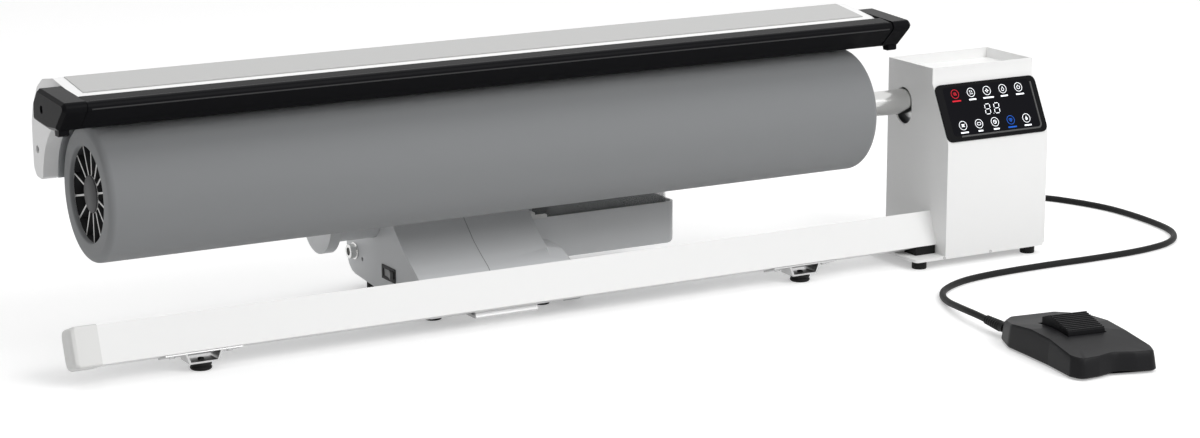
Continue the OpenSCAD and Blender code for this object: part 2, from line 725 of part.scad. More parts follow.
module housing_shell() color("#d4d5d7") {
    difference() {
        along_x(housing_x, seam_x - housing_x) polygon(housing_outline);
        along_x(housing_x + housing_wall, housing_w) housing_hollow();
        bar_x(housing_x - over, housing_wall + 2 * over, pivot_y, pivot_z, pivot_r + loose);
        block([housing_x - over, switch_y - switch_w / 2, switch_z - switch_h / 2],
            [housing_x + housing_wall + over, switch_y + switch_w / 2, switch_z + switch_h / 2]);
        bar_x(housing_x - over, housing_wall + 2 * over, valve_y, valve_z, valve_r);
        bar_x(housing_x - over, housing_wall + 2 * over, vent_hole_y, vent_hole_z, vent_hole_r);
        link_notch();
    }
}
toe_reach = 26;
toe_slice = 1;
toe_wall_share = 0.94;
toe_mid_share = 0.6;
toe_shares = [[0, 0.05], [0.38, 0.085], [0.38, 0.44], [0.215, 0.42], [0.135, 0.348], [0.06, 0.24]];
toe_end_shares = [[0.06, 0.075], [0.36, 0.1], [0.36, 0.3], [0.2, 0.3], [0.12, 0.24], [0.07, 0.16]];
module toe(t) {
    hull() {
        along_x(housing_right - housing_wall, toe_slice)
            polygon(inset(scaled(toe_shares, [housing_d, housing_ref_h],
            [housing_y, 0]), t));
        along_x(housing_right + toe_reach * toe_mid_share - t, toe_slice)
            polygon(inset(rounded(scaled(toe_shares * toe_wall_share,
            [housing_d, housing_ref_h], [housing_y, 0]), t + over), t));
        along_x(housing_right + toe_reach - toe_slice - t, toe_slice) polygon(inset(scaled(toe_end_shares,
            [housing_d, housing_ref_h], [housing_y, 0]), t));
    }
}
inlet_w = 27;
inlet_h = 20;
inlet_share = 0.72;
inlet_x = housing_x + housing_w * inlet_share;
inlet_z = 42;
module housing_cover() color("#d4d5d7") {
    difference() {
        union() {
            along_x(seam_x, housing_right - seam_x) polygon(housing_outline);
            toe(0);
        }
        along_x(housing_x, housing_w - housing_wall) housing_hollow();
        toe(housing_wall);
        bar_x(housing_right - housing_wall - over, housing_wall + 2 * over, pivot_y, pivot_z,
            pivot_r + loose);
        block([inlet_x - inlet_w / 2, housing_y + housing_d / 2, inlet_z - inlet_h / 2],
            [inlet_x + inlet_w / 2, housing_y + housing_d + over, inlet_z + inlet_h / 2]);
        link_notch();
    }
}
base_in = 3;
module housing_base_plate() color("silver") {
    floor_line = [for (y = [housing_y + housing_wall, housing_floor[1][0],
        housing_y + housing_d - foot_room])
        [y, floor_top(y) - plate_t]];
    difference() {
        union() {
            along_x(housing_x + housing_wall, housing_w - 2 * housing_wall)
                polygon(concat(floor_line, [for (i = [2:-1:0]) floor_line[i] + [0, plate_t]]));
            block([link_x - link_w / 2, rail_y + rail_depth * cos(rail_lean), housing_front_z],
                [link_x + link_w / 2, housing_y + housing_wall + link_lap, housing_front_z + plate_t]);
            on_rail() block([link_x - link_w / 2, rail_depth, -link_lap],
                [link_x + link_w / 2, rail_depth + link_leg_t, rail_h * link_leg_share]);
        }
        for (k = [-1, 1]) on_rail() translate([link_x + k * link_w / 4, rail_depth - over, link_screw_z])
            rotate([-90, 0, 0]) cylinder(h = link_leg_t + 2 * over, r = flange_screw_r);
    }
}
housing_foot_r = 9;
housing_foot_in = 16;
housing_foot_shares = [0.13, 0.82];
module housing_feet() color("#151515") {
    difference() {
        for (x = [housing_x + housing_foot_in, housing_right - housing_foot_in],
            k = housing_foot_shares) {
            translate([x, housing_y + housing_d * k, 0]) cylinder(h = housing_rear_z, r = housing_foot_r);
        }
        along_x(housing_x, housing_w) polygon(concat(housing_floor,
            [[housing_y + housing_d, pivot_z], [housing_y, pivot_z]]));
    }
}
bearing_block_t = 12;
bearing_block_half = 31;
bearing_wall = 5;
function floor_top(y) = let (m = housing_floor[1])
    plate_t + (y < m[0] ? housing_front_z + (m[1] - housing_front_z) * (y - housing_y) / (m[0] - housing_y)
        : m[1] + (housing_rear_z - m[1]) * (y - m[0]) / (housing_y + housing_d - m[0]));
module pivot_bearings() color("gray") {
    for (x = [housing_x + housing_wall + base_in, housing_right - housing_wall - base_in - bearing_block_t])
        difference() {
        union() {
            bar_x(x, bearing_block_t, pivot_y, pivot_z, pivot_r + bearing_wall);
            along_x(x, bearing_block_t) polygon([[pivot_y - bearing_block_half,
                floor_top(pivot_y - bearing_block_half)],
                [pivot_y + bearing_block_half, floor_top(pivot_y + bearing_block_half)],
                [pivot_y + pivot_r, pivot_z], [pivot_y - pivot_r, pivot_z]]);
        }
        bar_x(x - over, bearing_block_t + 2 * over, pivot_y, pivot_z, pivot_r + fit);
    }
}
boiler_r = 17;
boiler_len = 60;
boiler_share = 0.37;
boiler_y = housing_y + housing_d * boiler_share;
boiler_in = 24;
boiler_x = housing_x + boiler_in;
boiler_end = 8;
module steam_generator() color("silver") {
    z = floor_top(boiler_y + boiler_r) + boiler_r + over / 2;
    bar_x(boiler_x, boiler_len, boiler_y, z, boiler_r);
    bar_x(boiler_x - boiler_end, boiler_len + 2 * boiler_end, boiler_y, z, boiler_r / 3);
    for (x = [boiler_x + boiler_end, boiler_x + boiler_len - 2 * boiler_end]) {
        along_x(x, boiler_end) polygon([[boiler_y - boiler_r, floor_top(boiler_y - boiler_r)],
            [boiler_y + boiler_r, floor_top(boiler_y + boiler_r)], [boiler_y + boiler_r / 2, z],
                [boiler_y - boiler_r / 2, z]]);
    }
}
pump_r = 13;
pump_len = 42;
pump_shift = 2;
pump_y = boiler_y - pump_shift;
pump_gap = 16;
pump_x = boiler_x + boiler_len + pump_gap;
module water_pump() color("#305080") {
    z = floor_top(pump_y + pump_r) + pump_r + over / 2;
    bar_x(pump_x, pump_len, pump_y, z, pump_r);
    along_x(pump_x + pump_r / 2, pump_len - pump_r) polygon([[pump_y - pump_r, floor_top(pump_y - pump_r)],
        [pump_y + pump_r, floor_top(pump_y + pump_r)], [pump_y + pump_r / 2, z], [pump_y - pump_r / 2, z]]);
    bar_x(pump_x - pump_r / 2, pump_len + pump_r, pump_y, z, pump_r / 4);
}
valve_out = 8;
valve_head_share = 1.5;
valve_nut_share = 1.4;
valve_bore_share = 0.8;
washer_r = 9;
washer_t = 1.6;
module drain_valve() color("silver") {
    difference() {
        union() {
            bar_x(housing_x - washer_t, washer_t, valve_y, valve_z, washer_r);
            bar_x(housing_x - valve_out, valve_out, valve_y, valve_z, valve_r * valve_head_share);
            bar_x(housing_x - washer_t, housing_wall + 2 * washer_t, valve_y, valve_z, valve_r);
            bar_x(housing_x + housing_wall, 2 * washer_t, valve_y, valve_z, valve_r * valve_nut_share);
        }
        bar_x(housing_x - valve_out - over, valve_out, valve_y, valve_z, valve_r * valve_bore_share);
    }
}
inlet_depth = 20;
inlet_flange = 2;
module mains_inlet() color("#151515") {
    y = housing_y + housing_d;
    difference() {
        union() {
            block([inlet_x - inlet_w / 2, y - inlet_depth, inlet_z - inlet_h / 2],
                [inlet_x + inlet_w / 2, y, inlet_z + inlet_h / 2]);
            block([inlet_x - inlet_w / 2 - inlet_flange, y, inlet_z - inlet_h / 2 - inlet_flange],
                [inlet_x + inlet_w / 2 + inlet_flange, y + inlet_flange,
                    inlet_z + inlet_h / 2 + inlet_flange]);
        }
        block([inlet_x - inlet_w / 2 + inlet_flange, y - inlet_depth + inlet_flange,
            inlet_z - inlet_h / 2 + inlet_flange],
            [inlet_x + inlet_w / 2 - inlet_flange, y + inlet_flange + over,
                inlet_z + inlet_h / 2 - inlet_flange]);
    }
    for (k = [-1, 0, 1]) {
        block([inlet_x + k * inlet_w / 4 - over, y - inlet_depth + inlet_flange, inlet_z - 2 * over],
            [inlet_x + k * inlet_w / 4 + over, y - inlet_flange, inlet_z + 2 * over]);
    }
}

// Power switch
switch_rim = 2;
switch_depth = 18;
rocker_w = 21;
rocker_h = 8;
rocker_tilt = 10;
rocker_pivot_in = 0.5;
rocker_room = 1;
rocker_pin_r = 1.2;
rocker_root = 3;
rocker_crown = 2.6;
rocker_dip = 1.2;
rocker_outline = [[-rocker_w / 2, -rocker_root], [rocker_w / 2, -rocker_root], [rocker_w / 2, rocker_crown],
    [0, rocker_dip], [-rocker_w / 2, rocker_crown]];
module switch_frame() color("#202020") {
    difference() {
        union() {
            block([housing_x - switch_rim / 2, switch_y - switch_w / 2 - switch_rim,
                switch_z - switch_h / 2 - switch_rim],
                [housing_x, switch_y + switch_w / 2 + switch_rim, switch_z + switch_h / 2 + switch_rim]);
            block([housing_x - switch_rim / 2, switch_y - switch_w / 2, switch_z - switch_h / 2],
                [housing_x + switch_depth, switch_y + switch_w / 2, switch_z + switch_h / 2]);
        }
        block([housing_x - switch_rim, switch_y - rocker_w / 2 - rocker_room,
            switch_z - rocker_h / 2 - fit],
            [housing_x + switch_depth / 2, switch_y + rocker_w / 2 + rocker_room,
                switch_z + rocker_h / 2 + fit]);
        translate([housing_x + rocker_pivot_in, switch_y, switch_z - rocker_h / 2 - over])
            cylinder(h = rocker_h + 2 * over, r = rocker_pin_r + fit);
    }
}
module power_rocker() color("#8c1a1a") {
    translate([housing_x + rocker_pivot_in, switch_y, switch_z]) {
        rotate([0, 0, 90 - rocker_tilt]) translate([0, 0, -rocker_h / 2]) linear_extrude(rocker_h)
            polygon(rocker_outline);
        translate([0, 0, -rocker_h / 2 - over + fit])
            cylinder(h = rocker_h + 2 * over - 2 * fit, r = rocker_pin_r);
    }
}

// Water tank and its tray
tray_y = 140;
tray_d = 109;
tray_z = 30;
tray_r = 10;
tray_x = housing_right;
tray_corner_shares = [0, 1, 1, 0];
function tray_plan(t) = rounded([[tray_x, tray_y + t], [tray_x + tank_tray_len - t, tray_y + t],
    [tray_x + tank_tray_len - t, tray_y + tray_d - t], [tray_x, tray_y + tray_d - t]],
    tray_corner_shares * (tray_r - t));
module tank_tray() color("#d4d5d7") {
    difference() {
        intersection() {
            translate([0, 0, tray_z]) linear_extrude(tank_tray_h) polygon(tray_plan(0));
            translate([0, tray_y - over, 0]) rotate([90, 0, 0]) mirror([0, 0, 1])
                linear_extrude(tray_d + 2 * over)
                polygon(rounded([[tray_x - over, tray_z], [tray_x + tank_tray_len, tray_z],
                    [tray_x + tank_tray_len, tray_z + 2 * tank_tray_h],
                        [tray_x - over, tray_z + 2 * tank_tray_h]],
                    [0, tray_r, 0, 0]));
        }
        intersection() {
            translate([0, 0, tray_z + tank_tray_wall]) linear_extrude(tank_tray_h)
                polygon(tray_plan(tank_tray_wall));
            translate([0, tray_y - over, 0]) rotate([90, 0, 0]) mirror([0, 0, 1])
                linear_extrude(tray_d + 2 * over)
                polygon(rounded([[tray_x - 2 * over, tray_z + tank_tray_wall],
                    [tray_x + tank_tray_len - tank_tray_wall, tray_z + tank_tray_wall],
                    [tray_x + tank_tray_len - tank_tray_wall, tray_z + 2 * tank_tray_h],
                    [tray_x - 2 * over, tray_z + 2 * tank_tray_h]], [0, tank_room, 0, 0]));
        }
    }
}
latch_w = 22;
latch_post_w = 7.7;
latch_d = 9;
latch_h = 7;
module tank_latch() color("white") {
    z = tray_z + tank_tray_h;
    block([tray_x, tray_y, z], [tray_x + latch_post_w, tray_y + latch_d, z + latch_h]);
    block([tray_x + latch_post_w - over, tray_y, z],
        [tray_x + latch_w, tray_y + latch_d / 2, z + latch_h / 2]);
}
tank_arm_room = 10;
tank_left_gap = arm_gap + arm_t + tank_arm_room;
tank_room = 3.6;
tank_r = 8;
tank_floor_gap = 0.4;
function tank_plan(t) = let (x1 = tray_x + tank_left_gap + t,
    x2 = tray_x + tank_tray_len - tank_tray_wall - tank_room - t)
    let (y1 = tray_y + tank_tray_wall + tank_room + t,
        y2 = tray_y + tray_d - tank_tray_wall - tank_room - t)
    rounded([[x1, y1], [x2, y1], [x2, y2], [x1, y2]], tank_r - t);
tank_foot_h = 6;
module water_tank() color("#cfe0ea", 0.5) {
    z = tray_z + tank_tray_wall + tank_floor_gap;
    difference() {
        translate([0, 0, z]) linear_extrude(tank_h) polygon(tank_plan(0));
        translate([0, 0, z + tank_foot_h + tank_wall]) linear_extrude(tank_h) polygon(tank_plan(tank_wall));
    }
}

// Heated shoe that wraps the roller from its rear to above its front
shoe_shares = [[1.103, 0.043], [1.331, 0.054], [1.443, 0.163], [1.458, 0.574], [1.454, 0.869],
    [1.37, 1.108],
    [1.154, 1.415], [0.908, 1.565], [0.446, 1.646], [-0.34, 1.546], [-0.51, 1.498], [-0.51, 1.09],
    [-0.2, 1.06]];
shoe_outline = scaled(shoe_shares, [roller_r, roller_r]);
module shoe_round(r) {
    circle(r = r);
}
inset_from = -0.34;
inset_to = 0.446;
inset_z_from = 1.546;
inset_z_to = 1.646;
inset_margin = 11;
inset_t = 1.2;
inset_proud = 0.9;
module inset_region(t, gap) {
    y1 = inset_from * roller_r;
    y2 = inset_to * roller_r;
    rise = (inset_z_to - inset_z_from) * roller_r / (y2 - y1) * gap;
    z1 = inset_z_from * roller_r + rise;
    z2 = inset_z_to * roller_r - rise;
    polygon([[y1 + gap, z1 - t], [y2 - gap, z2 - t], [y2 - gap, z2 + over], [y1 + gap, z1 + over]]);
}
module shoe_frame() color("white") {
    at_roller() difference() {
        along_x(shoe_left + side_cover_t, shoe_right - shoe_left - 2 * side_cover_t) difference() {
            polygon(shoe_outline);
            polygon(inset(shoe_outline, shoe_wall));
            shoe_round(shoe_r + loose);
            polygon(ring_sector(roller_r / 2, shoe_r + shoe_plate_t + loose, -90, plate_to_a + lip_gap_a, 36));
        }
        along_x(shoe_left + inset_margin, shoe_right - shoe_left - 2 * inset_margin)
            inset_region(inset_t, 0);
    }
}
module top_inset() color("#c9c9c9") {
    at_roller() along_x(shoe_left + inset_margin + fit, shoe_right - shoe_left - 2 * inset_margin - 2 * fit)
        difference() {
        inset_region(inset_t, fit);
        translate([0, inset_proud]) inset_region(0, -over);
    }
}
plate_from_a = 3;
plate_to_a = 101;
lip_gap_a = 0.3;
plate_foot_a = 4;
module shoe_plate() color("#b8babc") {
    at_roller() along_x(shoe_left + side_cover_t + loose,
        shoe_right - shoe_left - 2 * side_cover_t - 2 * loose) {
        polygon(ring_sector(shoe_r, shoe_r + shoe_plate_t, plate_from_a, plate_to_a, 36));
        for (a = heater_as) rotate(a) translate([shoe_r + shoe_plate_t - over, -heater_r])
            square([over + heater_r / 2, 2 * heater_r]);
        for (a = [plate_from_a + plate_foot_a, plate_to_a - plate_foot_a]) rotate(a)
            translate([shoe_r + shoe_plate_t - over, -over])
            square([over + loose, 2 * over]);
    }
}
heater_r = 3.5;
heater_as = [24, 52, 80];
heater_in = 12;
module heating_elements() color("#7a5a40") {
    at_roller() for (a = heater_as) rotate([a, 0, 0])
        bar_x(shoe_left + side_cover_t + heater_in, shoe_right - shoe_left - 2 * (side_cover_t + heater_in),
            shoe_r + shoe_plate_t + heater_r * 1.5 + fit, 0, heater_r);
}
cover_rs = [4, 6, 8, 0, 0, 0, 12, 12, 12, 0, 4, 0, 0];
module cover_face() {
    difference() {
        polygon(rounded(shoe_outline, cover_rs));
        shoe_round(shoe_r + loose);
    }
}
cover_hole_y = 1.254;
cover_hole_z = 0.468;
module side_cover(x) {
    at_roller() difference() {
        along_x(x, side_cover_t) cover_face();
        along_x(shoe_left + inset_margin, shoe_right - shoe_left - 2 * inset_margin)
            inset_region(inset_t, 0);
        bar_x(x > roller_mid ? x + side_cover_t - recess_depth : x - over, recess_depth + over,
            cover_hole_y * roller_r, cover_hole_z * roller_r, recess_r);
        bar_x(x - over, side_cover_t + 2 * over, cover_hole_y * roller_r, cover_hole_z * roller_r,
            recess_r / 2);
    }
}
recess_r = 4;
recess_depth = 3;
module side_covers() color("white") {
    side_cover(shoe_left);
    side_cover(shoe_right - side_cover_t);
}

// Front guard bar and the caps at its ends
cap_shares = [[-1.0, 1.438], [-0.63, 1.092], [-0.26, 1.054], [0.354, 1.085], [0.338, 1.369], [0.138, 1.592],
    [-0.94, 1.538]];
cap_rs = [6, 5, 4, 5, 8, 8, 5];
cap_edge = 3;
cap_outline = scaled(cap_shares, [roller_r, roller_r]);
module cap_shape(x, out) {
    at_roller() hull() {
        along_x(x + (out < 0 ? cap_edge : 0), end_cap_w - cap_edge) polygon(rounded(cap_outline, cap_rs));
        along_x(x, end_cap_w) polygon(rounded(inset(cap_outline, cap_edge), cap_edge));
    }
}
cap_foot_w = 10;
cap_foot_shares = [[-0.62, 1.12], [-0.62, 1.02], [-0.58, 1], [-0.46, 1], [-0.44, 1.1]];
module cap_foot(x) {
    at_roller() along_x(x, cap_foot_w) polygon(scaled(cap_foot_shares, [roller_r, roller_r]));
}
cap_screw_shares = [-0.05, 1.31];
cap_screw_d = 7;
module end_caps() color("#161616") {
    difference() {
        union() {
            cap_shape(shoe_left - end_cap_w, -1);
            cap_foot(shoe_left - end_cap_w + cap_edge);
        }
        cap_bores(shoe_left - end_cap_w, -1);
    }
    difference() {
        union() {
            cap_shape(shoe_right, 1);
            cap_foot(shoe_right + end_cap_w - cap_edge - cap_foot_w);
        }
        cap_bores(shoe_right, 1);
    }
}
guard_pin_r = 3;
guard_pin_shares = [-0.6, 1.4];
guard_pin_len = 12;
module cap_bores(x, out) {
    at_roller() {
        bar_x(out < 0 ? x + end_cap_w - guard_pin_len - over : x - over, guard_pin_len + 2 * over,
            guard_pin_shares[0] * roller_r, guard_pin_shares[1] * roller_r, guard_pin_r + fit);
        bar_x(out < 0 ? x - over : x + end_cap_w - screw_sink, screw_sink + over,
            cap_screw_shares[0] * roller_r, cap_screw_shares[1] * roller_r, cap_screw_d / 2 + loose);
        bar_x(x - over, end_cap_w + 2 * over, cap_screw_shares[0] * roller_r,
            cap_screw_shares[1] * roller_r,
            cap_screw_d / 4);
    }
}
screw_sink = 3;
module cap_screws() color("#404040") {
    at_roller() {
        translate([shoe_left - end_cap_w + screw_sink, cap_screw_shares[0] * roller_r,
            cap_screw_shares[1] * roller_r])
            rotate([0, -90, 0]) screw(cap_screw_d, end_cap_w - screw_sink);
        translate([shoe_right + end_cap_w - screw_sink, cap_screw_shares[0] * roller_r,
            cap_screw_shares[1] * roller_r])
            rotate([0, 90, 0]) screw(cap_screw_d, end_cap_w - screw_sink);
        for (out = [-1, 1]) translate([out < 0 ? shoe_left + recess_depth : shoe_right - recess_depth,
            cover_hole_y * roller_r, cover_hole_z * roller_r]) rotate([0, 90 * out, 0])
                screw(cap_screw_d, recess_depth);
    }
}
guard_gap = 0.8;
guard_shares = [[-0.98, 1.43], [-0.63, 1.11], [-0.59, 1.08], [-0.575, 1.12], [-0.545, 1.36], [-0.545, 1.53],
    [-0.6, 1.555], [-0.93, 1.52]];
guard_rs = [6, 3, 2, 3, 0, 3, 2, 4];
guard_wall = 2.4;
guard_core = [0, 2, 5, 6, 7];
guard_slot_shares = [[-0.65, 1.38], [-0.5, 1.48]];
module guard_bar() color("#161616") {
    at_roller() {
        difference() {
            along_x(shoe_left + guard_gap, shoe_right - shoe_left - 2 * guard_gap)
                polygon(rounded(scaled(guard_shares, [roller_r, roller_r]), guard_rs));
            along_x(shoe_left + guard_gap + guard_pin_len,
                shoe_right - shoe_left - 2 * (guard_gap + guard_pin_len))
                polygon(inset(scaled([for (k = guard_core) guard_shares[k]], [roller_r, roller_r]),
                    guard_wall));
            block([shoe_left + guard_gap + guard_pin_len, guard_slot_shares[0][0] * roller_r,
                guard_slot_shares[0][1] * roller_r], [shoe_right - guard_gap - guard_pin_len,
                guard_slot_shares[1][0] * roller_r, guard_slot_shares[1][1] * roller_r]);
        }
        for (x = [shoe_left + guard_gap - guard_pin_len, shoe_right - guard_gap - over]) {
            bar_x(x, guard_pin_len + over, guard_pin_shares[0] * roller_r,
                guard_pin_shares[1] * roller_r, guard_pin_r);
        }
    }
}

// Pivot tube and carrier arms
module pivot_tube() color("#d4d5d7") {
    from = arm_left_x + arm_t;
    difference() {
        bar_x(from, arm_right_x - from, pivot_y, pivot_z, pivot_r);
        bar_x(from - over, arm_right_x - from + 2 * over, pivot_y, pivot_z, pivot_r - housing_wall);
    }
}
arm_head_shares = [1.115, 1.32];
arm_head_y = roller_axis_y + arm_head_shares[0] * roller_r;
arm_head_end = roller_axis_y + arm_head_shares[1] * roller_r;
arm_neck_share = -0.3;
arm_neck_z = roller_axis_z + arm_neck_share * roller_r;
function shoe_under(k) = let (a = shoe_shares[0], b = shoe_shares[1])
    roller_axis_z + (a[1] + (k - a[0]) * (b[1] - a[1]) / (b[0] - a[0])) * roller_r;
arm_root_shares = [[-0.95, 0.3], [0, 0], [0.95, 0.3], [0.1, 1.4]];
module carrier_arm(x) {
    difference() {
        union() {
            bar_x(x, arm_t, pivot_y, pivot_z, arm_disc_r);
            along_x(x, arm_t) polygon(concat([[arm_head_end, shoe_under(arm_head_shares[1])],
                [arm_head_y, shoe_under(arm_head_shares[0])],
                [arm_head_y, arm_neck_z]], scaled(arm_root_shares, [arm_disc_r, arm_disc_r],
                    [pivot_y, pivot_z])));
        }
        for (k = [0:2]) rotate_about_pivot(120 * k + 90)
            bar_x(x - over, arm_t + 2 * over, arm_bolt_r, 0, bolt_hole_r);
    }
}
arm_bolt_r = 15;
bolt_hole_r = 2.5;
module rotate_about_pivot(a) {
    translate([0, pivot_y, pivot_z]) rotate([a, 0, 0]) children();
}
module carrier_arm_left() color("#d4d5d7") carrier_arm(arm_left_x);
module carrier_arm_right() color("#d4d5d7") carrier_arm(arm_right_x);

// Foot pedal, turned a little towards the machine
pedal_at = [-98, -342];
pedal_turn = -7;
pedal_foot_h = 2;
pedal_half_shares = [[0.0, -0.89], [0.43, -0.97], [0.87, -1.0], [0.98, -0.84], [0.94, -0.32], [0.96, 0.12],
    [0.99, 0.54], [0.82, 0.86], [0.55, 1.0]];
pedal_shares = concat(pedal_half_shares, [for (i = [8:-1:1]) [-pedal_half_shares[i][0],
    pedal_half_shares[i][1]]]);
pedal_half_rs = [20, 14, 8, 8, 30, 30, 20, 8, 6];
pedal_rs = concat(pedal_half_rs, [for (i = [8:-1:1]) pedal_half_rs[i]]);
function pedal_ring(k) = rounded(scaled(pedal_shares, [pedal_w / 2 * k, pedal_l / 2 * k]), pedal_rs * k, 3);
pedal_arch = 7;
function pedal_top(y) = let (t = y / pedal_l + 0.5)
    pedal_front_h + (pedal_rear_h - pedal_front_h) * t + pedal_arch * pow(sin(180 * t), 2);
module pedal_place() {
    translate([pedal_at[0], pedal_at[1], 0]) rotate([0, 0, pedal_turn]) children();
}
function with_z(ring, share, z0) = [for (p = ring) [p[0], p[1], z0 + (pedal_top(p[1]) - z0) * share]];
// Skin of rings that all have the same count of points, lowest ring first
module skin(rings) {
    n = len(rings[0]);
    m = len(rings);
    polyhedron(points = [for (r = rings) each r], faces = concat([[for (i = [0:n - 1]) i]],
        [[for (i = [n - 1:-1:0]) (m - 1) * n + i]],
        [for (k = [0:m - 2], i = [0:n - 1]) each [
            [k * n + (i + 1) % n, k * n + i, (k + 1) * n + i],
            [k * n + (i + 1) % n, (k + 1) * n + i, (k + 1) * n + (i + 1) % n]]]));
}
pedal_ring_shares = [[0.985, 0], [1, 0.08], [0.98, 0.6], [0.965, 0.9], [0.94, 1], [0.7, 1], [0.4, 1], [0.1, 1]];
pedal_hollow_shares = [[0.93, 0], [0.91, 0.86], [0.88, 1], [0.65, 1], [0.35, 1], [0.08, 1]];
pedal_plate_share = 0.92;
slot_w = 43;
slot_rear = 32;
slot_front = 24;
relief_x = -31;
relief_z = 11;
relief_r = 5;
module pedal_body() color("#1c1c1c") {
    pedal_place() difference() {
        skin([for (s = pedal_ring_shares) with_z(pedal_ring(s[0]), s[1], pedal_foot_h)]);
        translate([0, 0, -pedal_wall]) skin([for (s = pedal_hollow_shares)
            with_z(pedal_ring(s[0]), s[1], pedal_foot_h)]);
        block([-slot_w / 2, -slot_front, pedal_foot_h], [slot_w / 2, slot_rear, 2 * pedal_rear_h]);
        bar_y(relief_x, pedal_l / 2 - relief_in - over, relief_z, relief_in + 2 * over, relief_r);
    }
}
relief_in = 16;
pedal_plate_t = 2;
treadle_y = -19;
treadle_z = 14;
lug_t = 4;
lug_half = 5;
treadle_w = 40;
treadle_pin_r = 2;
module pedal_base_plate() color("#262626") {
    pedal_place() {
        translate([0, 0, pedal_foot_h - fit]) linear_extrude(pedal_plate_t)
            polygon(pedal_ring(pedal_plate_share));
        difference() {
            for (s = [-1, 1]) translate([s * (treadle_w / 2 + over + lug_t / 2), treadle_y, 0])
                translate([-lug_t / 2, -lug_half, pedal_foot_h + over])
                cube([lug_t, 2 * lug_half, treadle_z + treadle_pin_r + over - pedal_foot_h]);
            bar_x(-treadle_w, 2 * treadle_w, treadle_y, treadle_z, treadle_pin_r);
        }
    }
}
pedal_pad_w = 12;
pedal_pad_share = 0.62;
pedal_pad_ends = [-0.8, 0.78];
module pedal_feet() color("#101010") {
    pedal_place() for (s = [-1, 1], y = pedal_pad_ends) {
        translate([s * pedal_w / 2 * pedal_pad_share - pedal_pad_w / 2, y * pedal_l / 2 - pedal_pad_w / 2,
            0])
            cube([pedal_pad_w, pedal_pad_w, pedal_foot_h - fit]);
    }
}
microswitch_w = 20;
microswitch_y = 12;
microswitch_d = 7;
microswitch_h = 4.2;
module pedal_microswitch() color("#303a60") {
    plate_top = pedal_foot_h - fit + pedal_plate_t;
    pedal_place() block([-microswitch_w / 2, microswitch_y, plate_top],
        [microswitch_w / 2, microswitch_y + microswitch_d, plate_top + microswitch_h]);
}
module treadle_pin() color("silver") {
    half = treadle_w / 2 + over + lug_t;
    pedal_place() bar_x(-half, 2 * half, treadle_y, treadle_z, treadle_pin_r);
}
spring_y = 0;
spring_r = 4;
spring_wire = 1;
spring_turns = 4;
spring_steps = 16;
spring_sides = 6;
treadle_under = 13;
module treadle_spring() color("silver") {
    low = pedal_foot_h - fit + pedal_plate_t + spring_wire / 2;
    rise = treadle_under - low - spring_wire / 2;
    n = spring_turns * spring_steps;
    path = [for (i = [0:n]) let (a = 360 * i / spring_steps)
        [spring_r * cos(a), spring_y + spring_r * sin(a), low + rise * i / n]];
    pedal_place() tube(path, spring_wire / 2, spring_sides);
}
rib_h = 1.6;
rib_shares = [0.15, 0.6, 0.75];
treadle_front_h = 32;
treadle_crown_h = 40;
treadle_rear_h = 34;
treadle_end = 26;
treadle_crown = 14;
treadle_start = 22;
module treadle() color("#1c1c1c") {
    rib_pitch = (treadle_crown + treadle_start - rib_h) / treadle_ribs;
    slope = (treadle_crown_h - treadle_front_h) / (treadle_crown + treadle_start);
    pedal_place() difference() {
        union() {
            along_x(-treadle_w / 2, treadle_w) polygon([[-treadle_start, treadle_under - over],
                [treadle_end, treadle_under + over],
                [treadle_end, treadle_rear_h], [treadle_crown, treadle_crown_h - rib_h],
                [-treadle_start, treadle_front_h - rib_h]]);
            for (k = [0:treadle_ribs - 1]) {
                y = -treadle_start + rib_h / 2 + k * rib_pitch;
                z = treadle_front_h + (y + treadle_start) * slope;
                along_x(-treadle_w / 2, treadle_w) polygon([[y, z - 2 * rib_h],
                    [y + rib_pitch * rib_shares[2], z - 2 * rib_h + rib_pitch * slope],
                    [y + rib_pitch * rib_shares[1], z], [y + rib_pitch * rib_shares[0], z]]);
            }
        }
        bar_x(-treadle_w, 2 * treadle_w, treadle_y, treadle_z, treadle_pin_r + fit);
    }
}

// Cord from the box's gland to the pedal
cord_d = 7;
relief_len = 30;
module pedal_strain_relief() color("#101010") {
    pedal_place() {
        bar_y(relief_x, pedal_l / 2 - relief_in, relief_z, relief_in, relief_r);
        translate([relief_x, pedal_l / 2, relief_z]) rotate([-90, 0, 0])
            cylinder(h = relief_len, r1 = relief_r, r2 = cord_d / 2 + loose);
    }
}
gland_nut_r = 8;
gland_nut_t = 4;
gland_len = 12;
module cord_gland() color("#101010") {
    bar_y(gland_x, box_d, gland_z, gland_nut_t, gland_nut_r);
    bar_y(gland_x, box_d - cover_t - gland_nut_t, gland_z, gland_nut_t, gland_nut_r);
    bar_y(gland_x, box_d - cover_t - gland_nut_t, gland_z, gland_nut_t + cover_t + gland_len, gland_r);
}
cord_route = [[104, 124, 20], [104, 136, 19], [105, 149, 15], [109, 163, 9], [116, 178, 5], [128, 195, 3.5],
    [145, 212, 3.5], [168, 228, 3.5], [195, 238, 3.5], [225, 241, 3.5], [254, 234, 3.5], [278, 220, 3.5],
    [296, 200, 3.5], [308, 175, 3.5], [317, 149, 3.5], [323, 120, 3.5], [324, 84, 3.5], [321, 45, 3.5],
    [315, 13, 3.5], [305, -10, 3.5], [288, -30, 3.5], [265, -44, 3.5], [236, -52, 3.5], [205, -56, 3.5],
    [172, -57, 3.5], [140, -57, 3.5], [108, -56, 3.5], [75, -56, 3.5], [42, -57, 3.5], [8, -60, 3.5],
    [-22, -66, 3.5], [-48, -77, 3.5], [-69, -92, 3.5], [-84, -112, 4], [-95, -136, 5.5], [-103, -161, 8],
    [-109, -184, 10], [-112.6, -206, 11], [-115, -227, 11]];
cord_steps = 2;
cord_sides = 8;
function cross_of(a, b) = [a[1] * b[2] - a[2] * b[1], a[2] * b[0] - a[0] * b[2], a[0] * b[1] - a[1] * b[0]];
